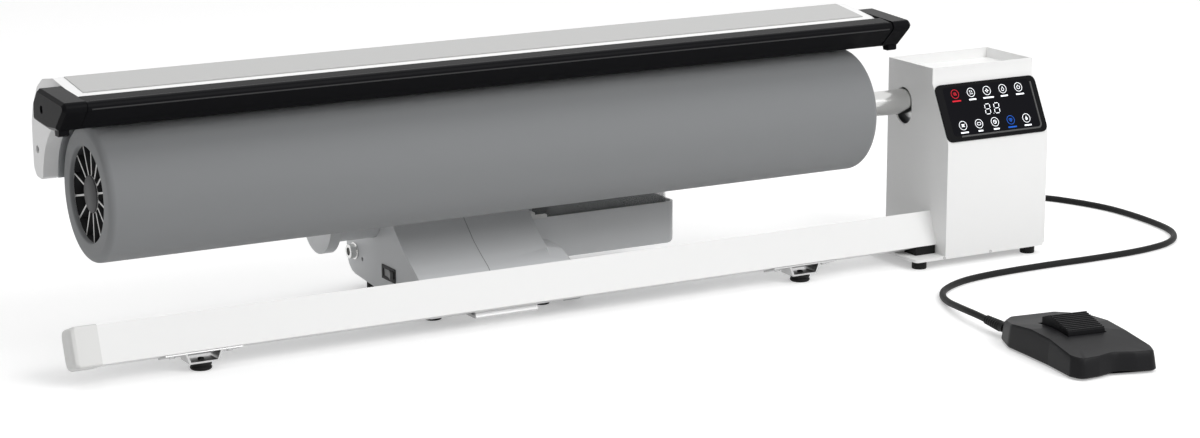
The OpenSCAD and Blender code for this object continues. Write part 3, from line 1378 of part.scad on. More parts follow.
function near(p, i) = p[max(0, min(len(p) - 1, i))];
function smooth_at(p, i, t) = let (a = near(p, i - 1), b = near(p, i), c = near(p, i + 1),
    d = near(p, i + 2))
    0.5 * (2 * b + (c - a) * t + (2 * a - 5 * b + 4 * c - d) * t * t + (3 * b - a - 3 * c + d) * t * t * t);
function smooth(p, steps) = concat([for (i = [0:len(p) - 2], k = [0:steps - 1]) smooth_at(p, i, k / steps)],
    [p[len(p) - 1]]);
// A round tube swept along a path of points
module tube(path, r, sides) {
    m = len(path);
    rings = [for (i = [0:m - 1])
        let (d = unit(near(path, i + 1) - near(path, i - 1)))
        let (u = unit(cross_of(d, [0, 0, 1])), w = cross_of(u, d))
        [for (k = [0:sides - 1]) let (a = 360 * (k + 0.5) / sides)
            path[i] + r * (cos(a) * u - sin(a) * w)]];
    skin(rings);
}
module pedal_cord() color("#101010") {
    tube(smooth(cord_route, cord_steps), cord_d / 2, cord_sides);
}

// Place of the whole machine: its box's middle on the floor is the origin
function turned(p, a) = [p[0] * cos(a) - p[1] * sin(a), p[0] * sin(a) + p[1] * cos(a)];
pedal_front = pedal_at[1] + low([for (p = pedal_ring(1)) turned(p, pedal_turn)]);
span_left = min(-rail_len - rail_cap_len, shoe_left - end_cap_w);
span_rear = housing_y + housing_d + inlet_flange;
origin = [(span_left + box_w) / 2, (pedal_front + span_rear) / 2, 0];
module placed() {
    translate(-origin) children();
}

placed() box_shell();
placed() box_rear_cover();
placed() box_base_plate();
placed() box_feet();
placed() panel_bezel();
placed() panel_glass();
placed() display_board();
placed() lift_guide_frame();
placed() lift_motor();
placed() cord_gland();
placed() rail_tube();
placed() rail_end_cap();
placed() rail_brackets();
placed() rail_feet();
placed() rail_block();
placed() frame_screws();
placed() housing_shell();
placed() housing_cover();
placed() housing_base_plate();
placed() housing_feet();
placed() pivot_bearings();
placed() steam_generator();
placed() water_pump();
placed() tank_tray();
placed() tank_latch();
placed() drain_valve();
placed() mains_inlet();
placed() switch_frame();
placed() pedal_body();
placed() pedal_base_plate();
placed() pedal_feet();
placed() pedal_microswitch();
placed() treadle_pin();
placed() treadle_spring();
placed() pedal_strain_relief();
placed() pedal_cord();
placed() lift_carriage();
placed() shaft_bearings();
placed() drive_motor();
placed() lift_screw();
placed() roller_shaft();
placed() roller_tube();
placed() roller_cover();
placed() roller_hubs();
placed() drive_gear();
placed() motor_pinion();
placed() pivot_tube();
placed() carrier_arm_left();
placed() carrier_arm_right();
placed() shoe_frame();
placed() top_inset();
placed() shoe_plate();
placed() heating_elements();
placed() side_covers();
placed() end_caps();
placed() cap_screws();
placed() guard_bar();
placed() treadle();
placed() power_rocker();
placed() water_tank();
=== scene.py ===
"""The looks of a table-top flatwork ironer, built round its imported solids."""

import json
import math

import bmesh
import bpy
from mathutils import Matrix, Vector

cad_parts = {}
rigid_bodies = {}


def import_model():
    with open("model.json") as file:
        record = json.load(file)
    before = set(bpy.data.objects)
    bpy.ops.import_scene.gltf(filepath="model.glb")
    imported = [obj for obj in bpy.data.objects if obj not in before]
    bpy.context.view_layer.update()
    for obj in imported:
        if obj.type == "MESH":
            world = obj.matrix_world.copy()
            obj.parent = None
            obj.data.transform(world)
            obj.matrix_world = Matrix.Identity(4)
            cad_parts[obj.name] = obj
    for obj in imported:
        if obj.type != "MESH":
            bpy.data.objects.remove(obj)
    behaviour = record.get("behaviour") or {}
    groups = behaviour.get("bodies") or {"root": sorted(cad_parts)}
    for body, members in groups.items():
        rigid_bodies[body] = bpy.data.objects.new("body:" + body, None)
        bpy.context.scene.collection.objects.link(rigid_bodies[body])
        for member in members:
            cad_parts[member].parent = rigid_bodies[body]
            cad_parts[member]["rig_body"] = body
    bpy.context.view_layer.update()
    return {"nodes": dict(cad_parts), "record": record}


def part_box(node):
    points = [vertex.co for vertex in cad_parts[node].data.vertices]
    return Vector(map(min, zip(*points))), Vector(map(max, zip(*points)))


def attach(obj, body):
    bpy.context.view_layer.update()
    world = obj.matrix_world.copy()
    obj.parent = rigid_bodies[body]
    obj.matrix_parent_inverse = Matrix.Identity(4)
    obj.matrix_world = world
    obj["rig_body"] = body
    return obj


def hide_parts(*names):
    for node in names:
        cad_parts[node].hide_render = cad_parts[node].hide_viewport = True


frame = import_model()

bl_info = {
    "name": "Flatwork Ironer",
    "version": (1, 0, 0),
    "blender": (4, 5, 0),
    "location": "View3D > Sidebar > Ironer",
    "description": "Dresses the packed solids of a flatwork ironer",
    "category": "Object",
}

MM = 0.001
# The control box's front left corner on the floor, from which places are measured
CORNER = Vector((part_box("box_shell")[0].x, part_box("box_shell")[0].y, 0))


def place(x, y, z):
    """A point given in millimetres from the control box's front left corner on the floor."""
    return CORNER + Vector((x, y, z)) * MM


# Each slot's colour, metallic, roughness, gloss, and the depth and scale of its fine grain
FINISHES = {
    "white_paint": ("white", 0.0, 0.35, 0.4, 0.02, 900),
    "housing_grey": ("housing", 0.0, 0.42, 0.4, 0.03, 1200),
    "cover_grey": ("cover", 0.0, 0.42, 0.4, 0.03, 1200),
    "light_plastic": ("light", 0.0, 0.45, 0.4, 0.03, 1200),
    "inset_grey": ("inset", 0.0, 0.35, 0.4, 0.0, 900),
    "black_gloss": ("black_gloss", 0.0, 0.22, 0.02, 0.0, 900),
    "black_plastic": ("black_matt", 0.0, 0.42, 0.12, 0.05, 1500),
    "panel_black": ("black_gloss", 0.0, 0.25, 0.04, 0.0, 900),
    "panel_glass": ("glass_black", 0.0, 0.1, 0.04, 0.0, 900),
    "board_green": ("board", 0.0, 0.5, 0.4, 0.0, 900),
    "roller_cloth": ("cloth", 0.0, 0.8, 0.2, 0.25, 1400),
    "polished_steel": ("chrome", 1.0, 0.16, 0.5, 0.0, 900),
    "zinc_steel": ("zinc", 1.0, 0.3, 0.5, 0.02, 700),
    "dark_steel": ("dark_steel", 1.0, 0.4, 0.5, 0.0, 700),
    "cast_grey": ("cast", 1.0, 0.55, 0.5, 0.1, 700),
    "aluminium": ("aluminium", 1.0, 0.32, 0.5, 0.02, 700),
    "heater_sheath": ("heater", 1.0, 0.45, 0.5, 0.02, 700),
    "brass": ("brass", 1.0, 0.3, 0.5, 0.02, 700),
    "motor_grey": ("motor", 0.0, 0.4, 0.4, 0.03, 900),
    "black_rubber": ("rubber", 0.0, 0.5, 0.12, 0.04, 1500),
    "switch_grey": ("switch", 0.0, 0.4, 0.4, 0.02, 1200),
    "clear_plastic": ("clear", 0.0, 0.06, 0.5, 0.0, 900),
}
GRAIN_DEPTH = 0.2 * MM
CLOTH_SHEEN = 0.25
CLOTH_SHEEN_ROUGHNESS = 0.6
CLEAR_ALPHA = 0.35
CLEAR_IOR = 1.45
PLAIN_ROUGHNESS = 0.4
PLAIN_GLOSS = 0.15

# Merging, flattening and rounding of a solid's mesh
MERGE = 1e-6
FLAT_ANGLE = math.radians(0.5)
SHARP_ANGLE = math.radians(30)


def colour_property(name, description, value):
    """A colour that the user can change."""
    return bpy.props.FloatVectorProperty(
        name=name, description=description, subtype="COLOR", size=3, min=0, max=1, default=value
    )


class IronerColours(bpy.types.PropertyGroup):
    """Colours of the finishes"""

    white: colour_property("White paint", "Frame, control box and shoe", (0.87, 0.87, 0.865))
    housing: colour_property("Housing", "Base housing, tray and arms", (0.68, 0.69, 0.7))
    cover: colour_property("Side cover", "Covers at the shoe's ends", (0.86, 0.86, 0.86))
    light: colour_property("Pale plastic", "Rail cap, hubs and latch", (0.76, 0.76, 0.75))
    inset: colour_property("Inset", "Panel in the shoe's top", (0.47, 0.47, 0.465))
    black_gloss: colour_property(
        "Glossy black", "Guard bar, end caps and panel frame", (0.008, 0.008, 0.009)
    )
    black_matt: colour_property("Matt black", "Pedal and switch frame", (0.01, 0.01, 0.011))
    glass_black: colour_property("Panel glass", "Front of the touch panel", (0.006, 0.006, 0.008))
    board: colour_property("Board", "Circuit board", (0.02, 0.1, 0.04))
    cloth: colour_property("Cloth", "Padded roller", (0.22, 0.226, 0.232))
    chrome: colour_property("Polished steel", "Roller's shaft and valve", (0.72, 0.72, 0.71))
    zinc: colour_property("Zinc", "Brackets and screws", (0.58, 0.58, 0.58))
    dark_steel: colour_property("Dark steel", "Screws in the end caps", (0.05, 0.05, 0.055))
    cast: colour_property("Cast metal", "Bearings and carriage", (0.35, 0.35, 0.36))
    aluminium: colour_property("Aluminium", "Heated plate and roller's tube", (0.6, 0.61, 0.62))
    heater: colour_property("Heater", "Sheath of the heating elements", (0.3, 0.24, 0.18))
    brass: colour_property("Brass", "Gears", (0.55, 0.38, 0.14))
    motor: colour_property("Motor", "Motors and pump", (0.06, 0.065, 0.07))
    rubber: colour_property("Rubber", "Feet and cord", (0.012, 0.012, 0.012))
    switch: colour_property("Switch", "Power switch's rocker", (0.2, 0.2, 0.2))
    hub: colour_property("Hub", "Middle of the roller's end", (0.04, 0.04, 0.042))
    # Painted shade: the near-black given to the faces deep in the roller end's ribbed recess
    recess: colour_property("Recess", "Ribbed recess of the roller's end", (0.045, 0.045, 0.047))
    # Painted highlight: a lighter black for the guard bar's beads, standing in for the light they
    # catch
    bead_highlight: colour_property("Bead", "Thin beads along the guard bar", (0.035, 0.035, 0.036))
    # Painted highlight: a lighter grey for the right and bottom sides of the raised border round
    # the keys
    ridge_highlight: colour_property("Ridge", "Ridge round the touch panel's keys", (0.1, 0.1, 0.1))
    seam_dark: colour_property("Seam", "Seam between the housing's halves", (0.3, 0.3, 0.3))
    clear: colour_property("Clear plastic", "Water tank", (0.3, 0.31, 0.31))
    lit_white: colour_property("Lit white", "Lit symbols of the touch panel", (0.85, 0.87, 0.9))
    lit_red: colour_property("Lit red", "Lit heating symbol", (0.6, 0.015, 0.03))
    lit_blue: colour_property("Lit blue", "Lit choice of cloth", (0.01, 0.1, 0.5))


def mm_property(name, description, value):
    """A length in millimetres that the user can change."""
    return bpy.props.FloatProperty(name=name, description=description, default=value, min=0)


class IronerSizes(bpy.types.PropertyGroup):
    """Sizes of the dressed pieces, in millimetres"""

    cord_d: mm_property("Cord diameter", "Diameter of the pedal's cord", 7.0)
    relief_len: mm_property("Relief length", "Length of the cord's tapered sleeve", 30.0)
    roller_edge: mm_property("Roller edge", "Rounding of the padding over the roller's ends", 7.0)
    icon_d: mm_property("Symbol ring", "Diameter of a ring on the touch panel", 10.2)
    icon_pitch: mm_property("Symbol pitch", "Distance between two rings", 21.0)
    digit_h: mm_property("Digit height", "Height of a digit of the display", 11.2)
    seam: mm_property("Seam", "Width of the gap between the housing's halves", 0.7)


class IronerStage(bpy.types.PropertyGroup):
    """The camera and the light"""

    camera_at: bpy.props.FloatVectorProperty(
        name="Camera", description="Place in millimetres from the control box's front left corner",
        size=3, default=(-1831.5, -2490.2, 769.3)
    )
    yaw: bpy.props.FloatProperty(
        name="Yaw", description="Turn of the view from +Y towards +X", subtype="ANGLE",
        default=math.radians(29.47)
    )
    pitch: bpy.props.FloatProperty(
        name="Pitch", description="Tilt of the view below the horizon", subtype="ANGLE",
        default=math.radians(13.114)
    )
    roll: bpy.props.FloatProperty(
        name="Roll", description="Turn of the picture about the view", subtype="ANGLE",
        default=math.radians(0.124)
    )
    lens: bpy.props.FloatProperty(
        name="Lens", description="Focal length in millimetres", default=88.67
    )
    key: bpy.props.FloatProperty(
        name="Key light", description="Power of the main lamp in watts", default=62
    )
    fill: bpy.props.FloatProperty(
        name="Fill light", description="Power of the top lamp in watts", default=22
    )
    world: bpy.props.FloatProperty(
        name="Sky", description="Strength of the sky overhead", default=0.66
    )


def colours():
    return bpy.context.scene.ironer_colours


def sizes():
    return bpy.context.scene.ironer_sizes


def stage():
    return bpy.context.scene.ironer_stage


def finish(slot):
    """The material of a slot of the record, made once."""
    found = bpy.data.materials.get("finish_" + slot)
    if found:
        return found
    colour, metallic, roughness, gloss, grain, grain_scale = FINISHES[slot]
    made = bpy.data.materials.new("finish_" + slot)
    made.use_nodes = True
    nodes, links = made.node_tree.nodes, made.node_tree.links
    shader = nodes["Principled BSDF"]
    shader.inputs["Base Color"].default_value = (*getattr(colours(), colour), 1)
    shader.inputs["Metallic"].default_value = metallic
    shader.inputs["Roughness"].default_value = roughness
    shader.inputs["Specular IOR Level"].default_value = gloss
    made.diffuse_color = (*getattr(colours(), colour), 1)
    if grain:
        noise = nodes.new("ShaderNodeTexNoise")
        noise.inputs["Scale"].default_value = grain_scale
        bump = nodes.new("ShaderNodeBump")
        bump.inputs["Strength"].default_value = grain
        bump.inputs["Distance"].default_value = GRAIN_DEPTH
        where = nodes.new("ShaderNodeTexCoord")
        links.new(where.outputs["Object"], noise.inputs["Vector"])
        links.new(noise.outputs["Fac"], bump.inputs["Height"])
        links.new(bump.outputs["Normal"], shader.inputs["Normal"])
    if slot == "roller_cloth":
        shader.inputs["Sheen Weight"].default_value = CLOTH_SHEEN
        shader.inputs["Sheen Roughness"].default_value = CLOTH_SHEEN_ROUGHNESS
    if slot == "clear_plastic":
        shader.inputs["Alpha"].default_value = CLEAR_ALPHA
        shader.inputs["IOR"].default_value = CLEAR_IOR
    return made


def plain(name, colour, glow=0.0):
    """A material of one colour, which may glow a little."""
    found = bpy.data.materials.get(name)
    if found:
        return found
    made = bpy.data.materials.new(name)
    made.use_nodes = True
    shader = made.node_tree.nodes["Principled BSDF"]
    shader.inputs["Base Color"].default_value = (*colour, 1)
    shader.inputs["Emission Color"].default_value = (*colour, 1)
    shader.inputs["Emission Strength"].default_value = glow
    shader.inputs["Roughness"].default_value = PLAIN_ROUGHNESS
    shader.inputs["Specular IOR Level"].default_value = PLAIN_GLOSS
    return made


def add(obj, body, slot, material=None):
    """Puts a new piece in the scene, on its body, with its finish."""
    bpy.context.scene.collection.objects.link(obj)
    obj.data.materials.clear()
    obj.data.materials.append(material or finish(slot))
    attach(obj, body)
    return obj


def mesh_object(name, points, faces):
    """An object of the points and faces, with smooth shading."""
    mesh = bpy.data.meshes.new(name)
    mesh.from_pydata([tuple(p) for p in points], [], faces)
    mesh.validate()
    mesh.shade_smooth()
    return bpy.data.objects.new(name, mesh)


def keep_edges(bm, angle):
    """Smooth faces that stay crisp at edges sharper than the angle."""
    for face in bm.faces:
        face.smooth = True
    for edge in bm.edges:
        edge.smooth = not (len(edge.link_faces) == 2 and edge.calc_face_angle(0) > angle)


def rounded_node(node, radius, segments=2, angle=SHARP_ANGLE):
    """A copy of a solid with its sharp edges rounded, which stands for the solid."""
    bm = bmesh.new()
    bm.from_mesh(frame["nodes"][node].data)
    bmesh.ops.remove_doubles(bm, verts=bm.verts, dist=MERGE)
    bmesh.ops.dissolve_limit(
        bm, angle_limit=FLAT_ANGLE, verts=bm.verts, edges=bm.edges, use_dissolve_boundaries=False
    )
    sharp = [e for e in bm.edges if len(e.link_faces) == 2 and e.calc_face_angle(0) > angle]
    bmesh.ops.bevel(
        bm, geom=sharp, offset=radius * MM, offset_type="OFFSET", segments=segments, profile=0.5,
        affect="EDGES", clamp_overlap=True
    )
    keep_edges(bm, angle)
    mesh = bpy.data.meshes.new(node + "_rounded")
    bm.to_mesh(mesh)
    bm.free()
    obj = bpy.data.objects.new(node + "_rounded", mesh)
    add(obj, node_body(node), node_slot(node))
    flat = obj.modifiers.new("flat_faces", "WEIGHTED_NORMAL")
    flat.keep_sharp = True
    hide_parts(node)
    return obj


def node_body(node):
    """The body that a node is in."""
    return frame["nodes"][node]["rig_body"]


def node_slot(node):
    """The record's material slot of a node."""
    return {s["node"]: s["material_slot"] for s in frame["record"]["subparts"]}[node]


def lathe(name, profile, start, turns):
    """A form turned about X from (along, radius) points in millimetres, from a start point."""
    points = [
        start + Vector((x, r * math.cos(a), r * math.sin(a))) * MM
        for x, r in profile
        for a in [2 * math.pi * k / turns for k in range(turns)]
    ]
    faces = []
    for ring in range(len(profile) - 1):
        near, far = ring * turns, (ring + 1) * turns
        for k in range(turns):
            after = (k + 1) % turns
            faces.append((near + k, near + after, far + after, far + k))
    return mesh_object(name, points, faces)


def wire(name, lines, width, resolution):
    """A curve object of round lines, each given by its points in metres and whether it closes."""
    curve = bpy.data.curves.new(name, "CURVE")
    curve.dimensions = "3D"
    curve.bevel_depth = width / 2 * MM
    curve.bevel_resolution = resolution
    for line, closed in lines:
        spline = curve.splines.new("POLY")
        spline.points.add(len(line) - 1)
        spline.use_cyclic_u = closed
        for point, at in zip(spline.points, line):
            point.co = (*at, 1)
    return bpy.data.objects.new(name, curve)


STROKE_RESOLUTION = 2


def strokes(name, lines, width, matrix):
    """Round strokes on a plane, given in millimetres and placed by a matrix."""
    flat = [([(u * MM, v * MM, 0) for u, v in line], closed) for line, closed in lines]
    obj = wire(name, flat, width, STROKE_RESOLUTION)
    obj.matrix_world = matrix
    return obj


def arc(centre, radius, start, end, steps=24):
    """Points of an arc, with its angles in degrees."""
    return [
        (centre[0] + radius * math.cos(math.radians(start + (end - start) * k / steps)),
         centre[1] + radius * math.sin(math.radians(start + (end - start) * k / steps)))
        for k in range(steps + 1)
    ]


# Numbers in the operators below are millimetres, unless a comment says otherwise

# Camera, floor and light


class IRONER_OT_camera(bpy.types.Operator):
    """Camera at the photograph's viewing angle"""

    bl_idname = "ironer.camera"
    bl_label = "Camera"

    sensor = 36

    def execute(self, context):
        made = bpy.data.objects.new("camera", bpy.data.cameras.new("camera"))
        context.scene.collection.objects.link(made)
        made.data.sensor_width = self.sensor
        made.data.lens = stage().lens
        made.location = place(*stage().camera_at)
        level = math.pi / 2 - stage().pitch
        turn = Matrix.Rotation(-stage().yaw, 3, "Z") @ Matrix.Rotation(level, 3, "X")
        made.rotation_euler = (turn @ Matrix.Rotation(-stage().roll, 3, "Z")).to_euler()
        context.scene.camera = made
        return {"FINISHED"}


class IRONER_OT_stage(bpy.types.Operator):
    """Pale floor, soft lamps and an even sky"""

    bl_idname = "ironer.stage"
    bl_label = "Stage"

    # Half the floor's width, in metres
    floor_half = 15.0
    floor_colour = (0.8, 0.8, 0.8, 1)
    floor_roughness = 0.7
    floor_gloss = 0.2
    floor_glow = 0.33
    low_sky = (0.12, 0.12, 0.12, 1)
    white = (1, 1, 1, 1)
    # Share of the way up at which the sky is at its brightest
    bright_from = 0.65
    # Places in millimetres from the control box's corner, and the lamps' sizes in metres
    aimed_at = (-418, 60, 130)
    key_at = (700, -2600, 2300)
    key_size = 2.4
    top_at = (-400, 300, 2800)
    top_size = 3.0

    def execute(self, context):
        context.scene.view_settings.view_transform = "Standard"
        self.floor(context)
        self.sky(context)
        self.lamp(context, "key_lamp", self.key_at, self.key_size, stage().key)
        self.lamp(context, "top_lamp", self.top_at, self.top_size, stage().fill)
        return {"FINISHED"}

    def floor(self, context):
        h = self.floor_half
        corners = [(-h, -h, 0), (h, -h, 0), (h, h, 0), (-h, h, 0)]
        floor = mesh_object("floor", corners, [(0, 1, 2, 3)])
        context.scene.collection.objects.link(floor)
        material = bpy.data.materials.new("floor")
        material.use_nodes = True
        nodes, links = material.node_tree.nodes, material.node_tree.links
        shader = nodes["Principled BSDF"]
        shader.inputs["Base Color"].default_value = self.floor_colour
        shader.inputs["Roughness"].default_value = self.floor_roughness
        shader.inputs["Specular IOR Level"].default_value = self.floor_gloss
        glow = nodes.new("ShaderNodeEmission")
        glow.inputs["Strength"].default_value = self.floor_glow
        both = nodes.new("ShaderNodeAddShader")
        seen = nodes.new("ShaderNodeMixShader")
        links.new(shader.outputs["BSDF"], both.inputs[0])
        links.new(glow.outputs["Emission"], both.inputs[1])
        links.new(self.seen_rays(nodes, links), seen.inputs["Fac"])
        links.new(shader.outputs["BSDF"], seen.inputs[1])
        links.new(both.outputs["Shader"], seen.inputs[2])
        links.new(seen.outputs["Shader"], nodes["Material Output"].inputs["Surface"])
        floor.data.materials.append(material)

    def seen_rays(self, nodes, links):
        """1 for rays from the camera, off gloss and through clear pieces."""
        path = nodes.new("ShaderNodeLightPath")
        first = nodes.new("ShaderNodeMath")
        first.operation = "MAXIMUM"
        links.new(path.outputs["Is Camera Ray"], first.inputs[0])
        links.new(path.outputs["Is Glossy Ray"], first.inputs[1])
        second = nodes.new("ShaderNodeMath")
        second.operation = "MAXIMUM"
        links.new(first.outputs[0], second.inputs[0])
        links.new(path.outputs["Is Transmission Ray"], second.inputs[1])
        return second.outputs[0]

    def sky(self, context):
        world = context.scene.world or bpy.data.worlds.new("sky")
        context.scene.world = world
        world.use_nodes = True
        nodes, links = world.node_tree.nodes, world.node_tree.links
        even = nodes["Background"]
        even.inputs["Strength"].default_value = stage().world
        where = nodes.new("ShaderNodeTexCoord")
        split = nodes.new("ShaderNodeSeparateXYZ")
        ramp = nodes.new("ShaderNodeValToRGB")
        low, high = ramp.color_ramp.elements
        low.position = 0
        low.color = self.low_sky
        high.position = self.bright_from
        high.color = self.white
        links.new(where.outputs["Generated"], split.inputs["Vector"])
        links.new(split.outputs["Z"], ramp.inputs["Fac"])
        links.new(ramp.outputs["Color"], even.inputs["Color"])
        white = nodes.new("ShaderNodeBackground")
        white.inputs["Color"].default_value = self.white
        white.inputs["Strength"].default_value = 1
        mix = nodes.new("ShaderNodeMixShader")
        links.new(self.seen_rays(nodes, links), mix.inputs["Fac"])
        links.new(even.outputs["Background"], mix.inputs[1])
        links.new(white.outputs["Background"], mix.inputs[2])
        links.new(mix.outputs["Shader"], nodes["World Output"].inputs["Surface"])

    def lamp(self, context, name, at, size, power):
        lamp = bpy.data.objects.new(name, bpy.data.lights.new(name, "AREA"))
        lamp.data.shape = "DISK"
        lamp.data.size = size
        lamp.data.energy = power
        context.scene.collection.objects.link(lamp)
        lamp.location = place(*at)
        away = place(*self.aimed_at) - lamp.location
        lamp.rotation_euler = away.to_track_quat("-Z", "Y").to_euler()


# Cord

# Route of the pedal's cord from the gland to the sleeve, in millimetres from the box's corner
CORD_ROUTE = [
    (104, 124, 20), (104, 136, 19), (105, 149, 15), (109, 163, 9), (116, 178, 5),
    (128, 195, 3.5), (145, 212, 3.5), (168, 228, 3.5), (195, 238, 3.5), (225, 241, 3.5),
    (254, 234, 3.5), (278, 220, 3.5), (296, 200, 3.5), (308, 175, 3.5), (317, 149, 3.5),
    (323, 120, 3.5), (324, 84, 3.5), (321, 45, 3.5), (315, 13, 3.5), (305, -10, 3.5),
    (288, -30, 3.5), (265, -44, 3.5), (236, -52, 3.5), (205, -56, 3.5), (172, -57, 3.5),
    (140, -57, 3.5), (108, -56, 3.5), (75, -56, 3.5), (42, -57, 3.5), (8, -60, 3.5),
    (-22, -66, 3.5), (-48, -77, 3.5), (-69, -92, 3.5), (-84, -112, 4), (-95, -136, 5.5),
    (-103, -161, 8), (-109, -184, 10), (-112.6, -206, 11), (-115, -227, 11),
]


def smooth_route(route, steps):
    """Points of a curve that passes smoothly through the route's points."""
    ends = [route[0], *route, route[-1]]
    made = []
    for a, b, c, d in zip(ends, ends[1:], ends[2:], ends[3:]):
        for k in range(steps):
            t = k / steps
            made.append(
                0.5 * (2 * b + (c - a) * t + (2 * a - 5 * b + 4 * c - d) * t ** 2
                       + (3 * b - a - 3 * c + d) * t ** 3)
            )
    return [*made, route[-1]]


class IRONER_OT_cord(bpy.types.Operator):
    """Cord from the control box to the pedal"""

    bl_idname = "ironer.cord"
    bl_label = "Cord"

    steps = 6
    resolution = 4

    def execute(self, context):
        path = smooth_route([place(*p) for p in CORD_ROUTE], self.steps)
        curve = wire("cord", [(path, False)], sizes().cord_d, self.resolution)
        obj = add(curve, node_body("pedal_cord"), "black_rubber")
        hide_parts("pedal_cord")
        return {"FINISHED"}


# Roller


class IRONER_OT_roller_cover(bpy.types.Operator):
    """Padded cloth over the roller, drawn in over its ends"""

    bl_idname = "ironer.roller_cover"
    bl_label = "Roller cover"

    rim_r = 45.8
    rim_depth = 4.6
    rim_edge = 1.6
    rim_steps = 4
    steps = 10
    turns = 160
    fill = 0.9

    def execute(self, context):
        low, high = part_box("roller_cover")
        length, r = (high.x - low.x) / MM, (high.z - low.z) / 2 / MM
        edge = sizes().roller_edge
        rim = self.rim_edge
        end = [(self.rim_depth, self.rim_r)]
        end += [(rim - rim * math.sin(a), self.rim_r + rim * (1 - math.cos(a)))
                for a in [math.pi / 2 * k / self.rim_steps for k in range(self.rim_steps + 1)]]
        end += [(edge - edge * math.cos(a), r - edge + edge * math.sin(a))
                for a in [math.pi / 2 * k / self.steps for k in range(self.steps + 1)]]
        profile = end + [(length - x, radius) for x, radius in reversed(end)]
        start = Vector((low.x, (low.y + high.y) / 2, (low.z + high.z) / 2))
        cover = add(lathe("padded_roller", profile, start, self.turns), "roller", "roller_cloth")
        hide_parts("roller_cover")
        return {"FINISHED"}


class IRONER_OT_roller_end(bpy.types.Operator):
    """Cap on the roller's free end, and painted shade inside its ribbed recess"""

    bl_idname = "ironer.roller_end"
    bl_label = "Roller end"

    cap_r = 18.0
    cap_t = 1.2
    # Points in from the cap's edge, as depth and distance from its rim
    cap_edge = ((0, 1.5), (0.5, 0.4))
    cap_turns = 64
    # The ribs' tops keep their pale plastic down to this depth, and the faces below them in the
    # recess are painted dark as shade
    painted_shade_depth = 1.2
    ribs_edge = 0.3

    def execute(self, context):
        low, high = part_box("roller_hubs")
        start = Vector((low.x - self.cap_t * MM, (low.y + high.y) / 2, (low.z + high.z) / 2))
        edge = [(x, self.cap_r - rim) for x, rim in self.cap_edge]
        cap = lathe("hub_cap", [(0, 0), *edge, (self.cap_t, self.cap_r)], start, self.cap_turns)
        add(cap, "roller", "light_plastic", plain("hub_grey", colours().hub))
        hubs = rounded_node("roller_hubs", self.ribs_edge)
        # A second material of painted shade for the faces deep in the recess
        hubs.data.materials.append(plain("hub_recess_painted_shade", colours().recess))
        for face in hubs.data.polygons:
            depth = min(face.center.x - low.x, high.x - face.center.x) / MM
            face.material_index = 1 if depth > self.painted_shade_depth else 0
        return {"FINISHED"}


class IRONER_OT_bar_beads(bpy.types.Operator):
    """Two thin moulded beads along the guard bar's top and front edges, in a lighter black that
    paints their highlights
    """

    bl_idname = "ironer.bar_beads"
    bl_label = "Bar beads"

    width = 1.6
    resolution = 3
    end_gap = 16.0
    # Places across the bar, as shares of its box: from the front, and up from the bottom
    places = ((0.22, 0.93), (0.02, 0.72))

    def execute(self, context):
        low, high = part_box("guard_bar")
        left, right = low.x + self.end_gap * MM, high.x - self.end_gap * MM
        lines = []
        for across, up in self.places:
            y = low.y + (high.y - low.y) * across
            z = low.z + (high.z - low.z) * up
            lines.append(([(left, y, z), (right, y, z)], False))
        beads = wire("bar_beads", lines, self.width, self.resolution)
        # The beads' lighter black is a painted highlight
        add(beads, "guard_bar", "black_gloss", plain("bead_highlight", colours().bead_highlight))
        return {"FINISHED"}


class IRONER_OT_housing_seam(bpy.types.Operator):
    """Thin dark gap where the housing's two halves meet"""

    bl_idname = "ironer.housing_seam"
    bl_label = "Housing seam"

    resolution = 4
    # Points this near the cut belong to it, and each next point is at least this much higher
    reach = 0.05
    rise = 0.2

    def execute(self, context):
        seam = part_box("housing_cover")[0].x
        corners = [v.co for v in frame["nodes"]["housing_cover"].data.vertices]
        rim = sorted({(c.y, c.z) for c in corners if abs(c.x - seam) < self.reach * MM})
        front = [rim[0]]
        for y, z in rim[1:]:
            if z > front[-1][1] + self.rise * MM:
                front.append((y, z))
        points = [(seam, y, z) for y, z in front]
        line = wire("housing_seam", [(points, False)], sizes().seam, self.resolution)
        add(line, "frame", "housing_grey", plain("seam_dark", colours().seam_dark))
        return {"FINISHED"}


# Touch panel


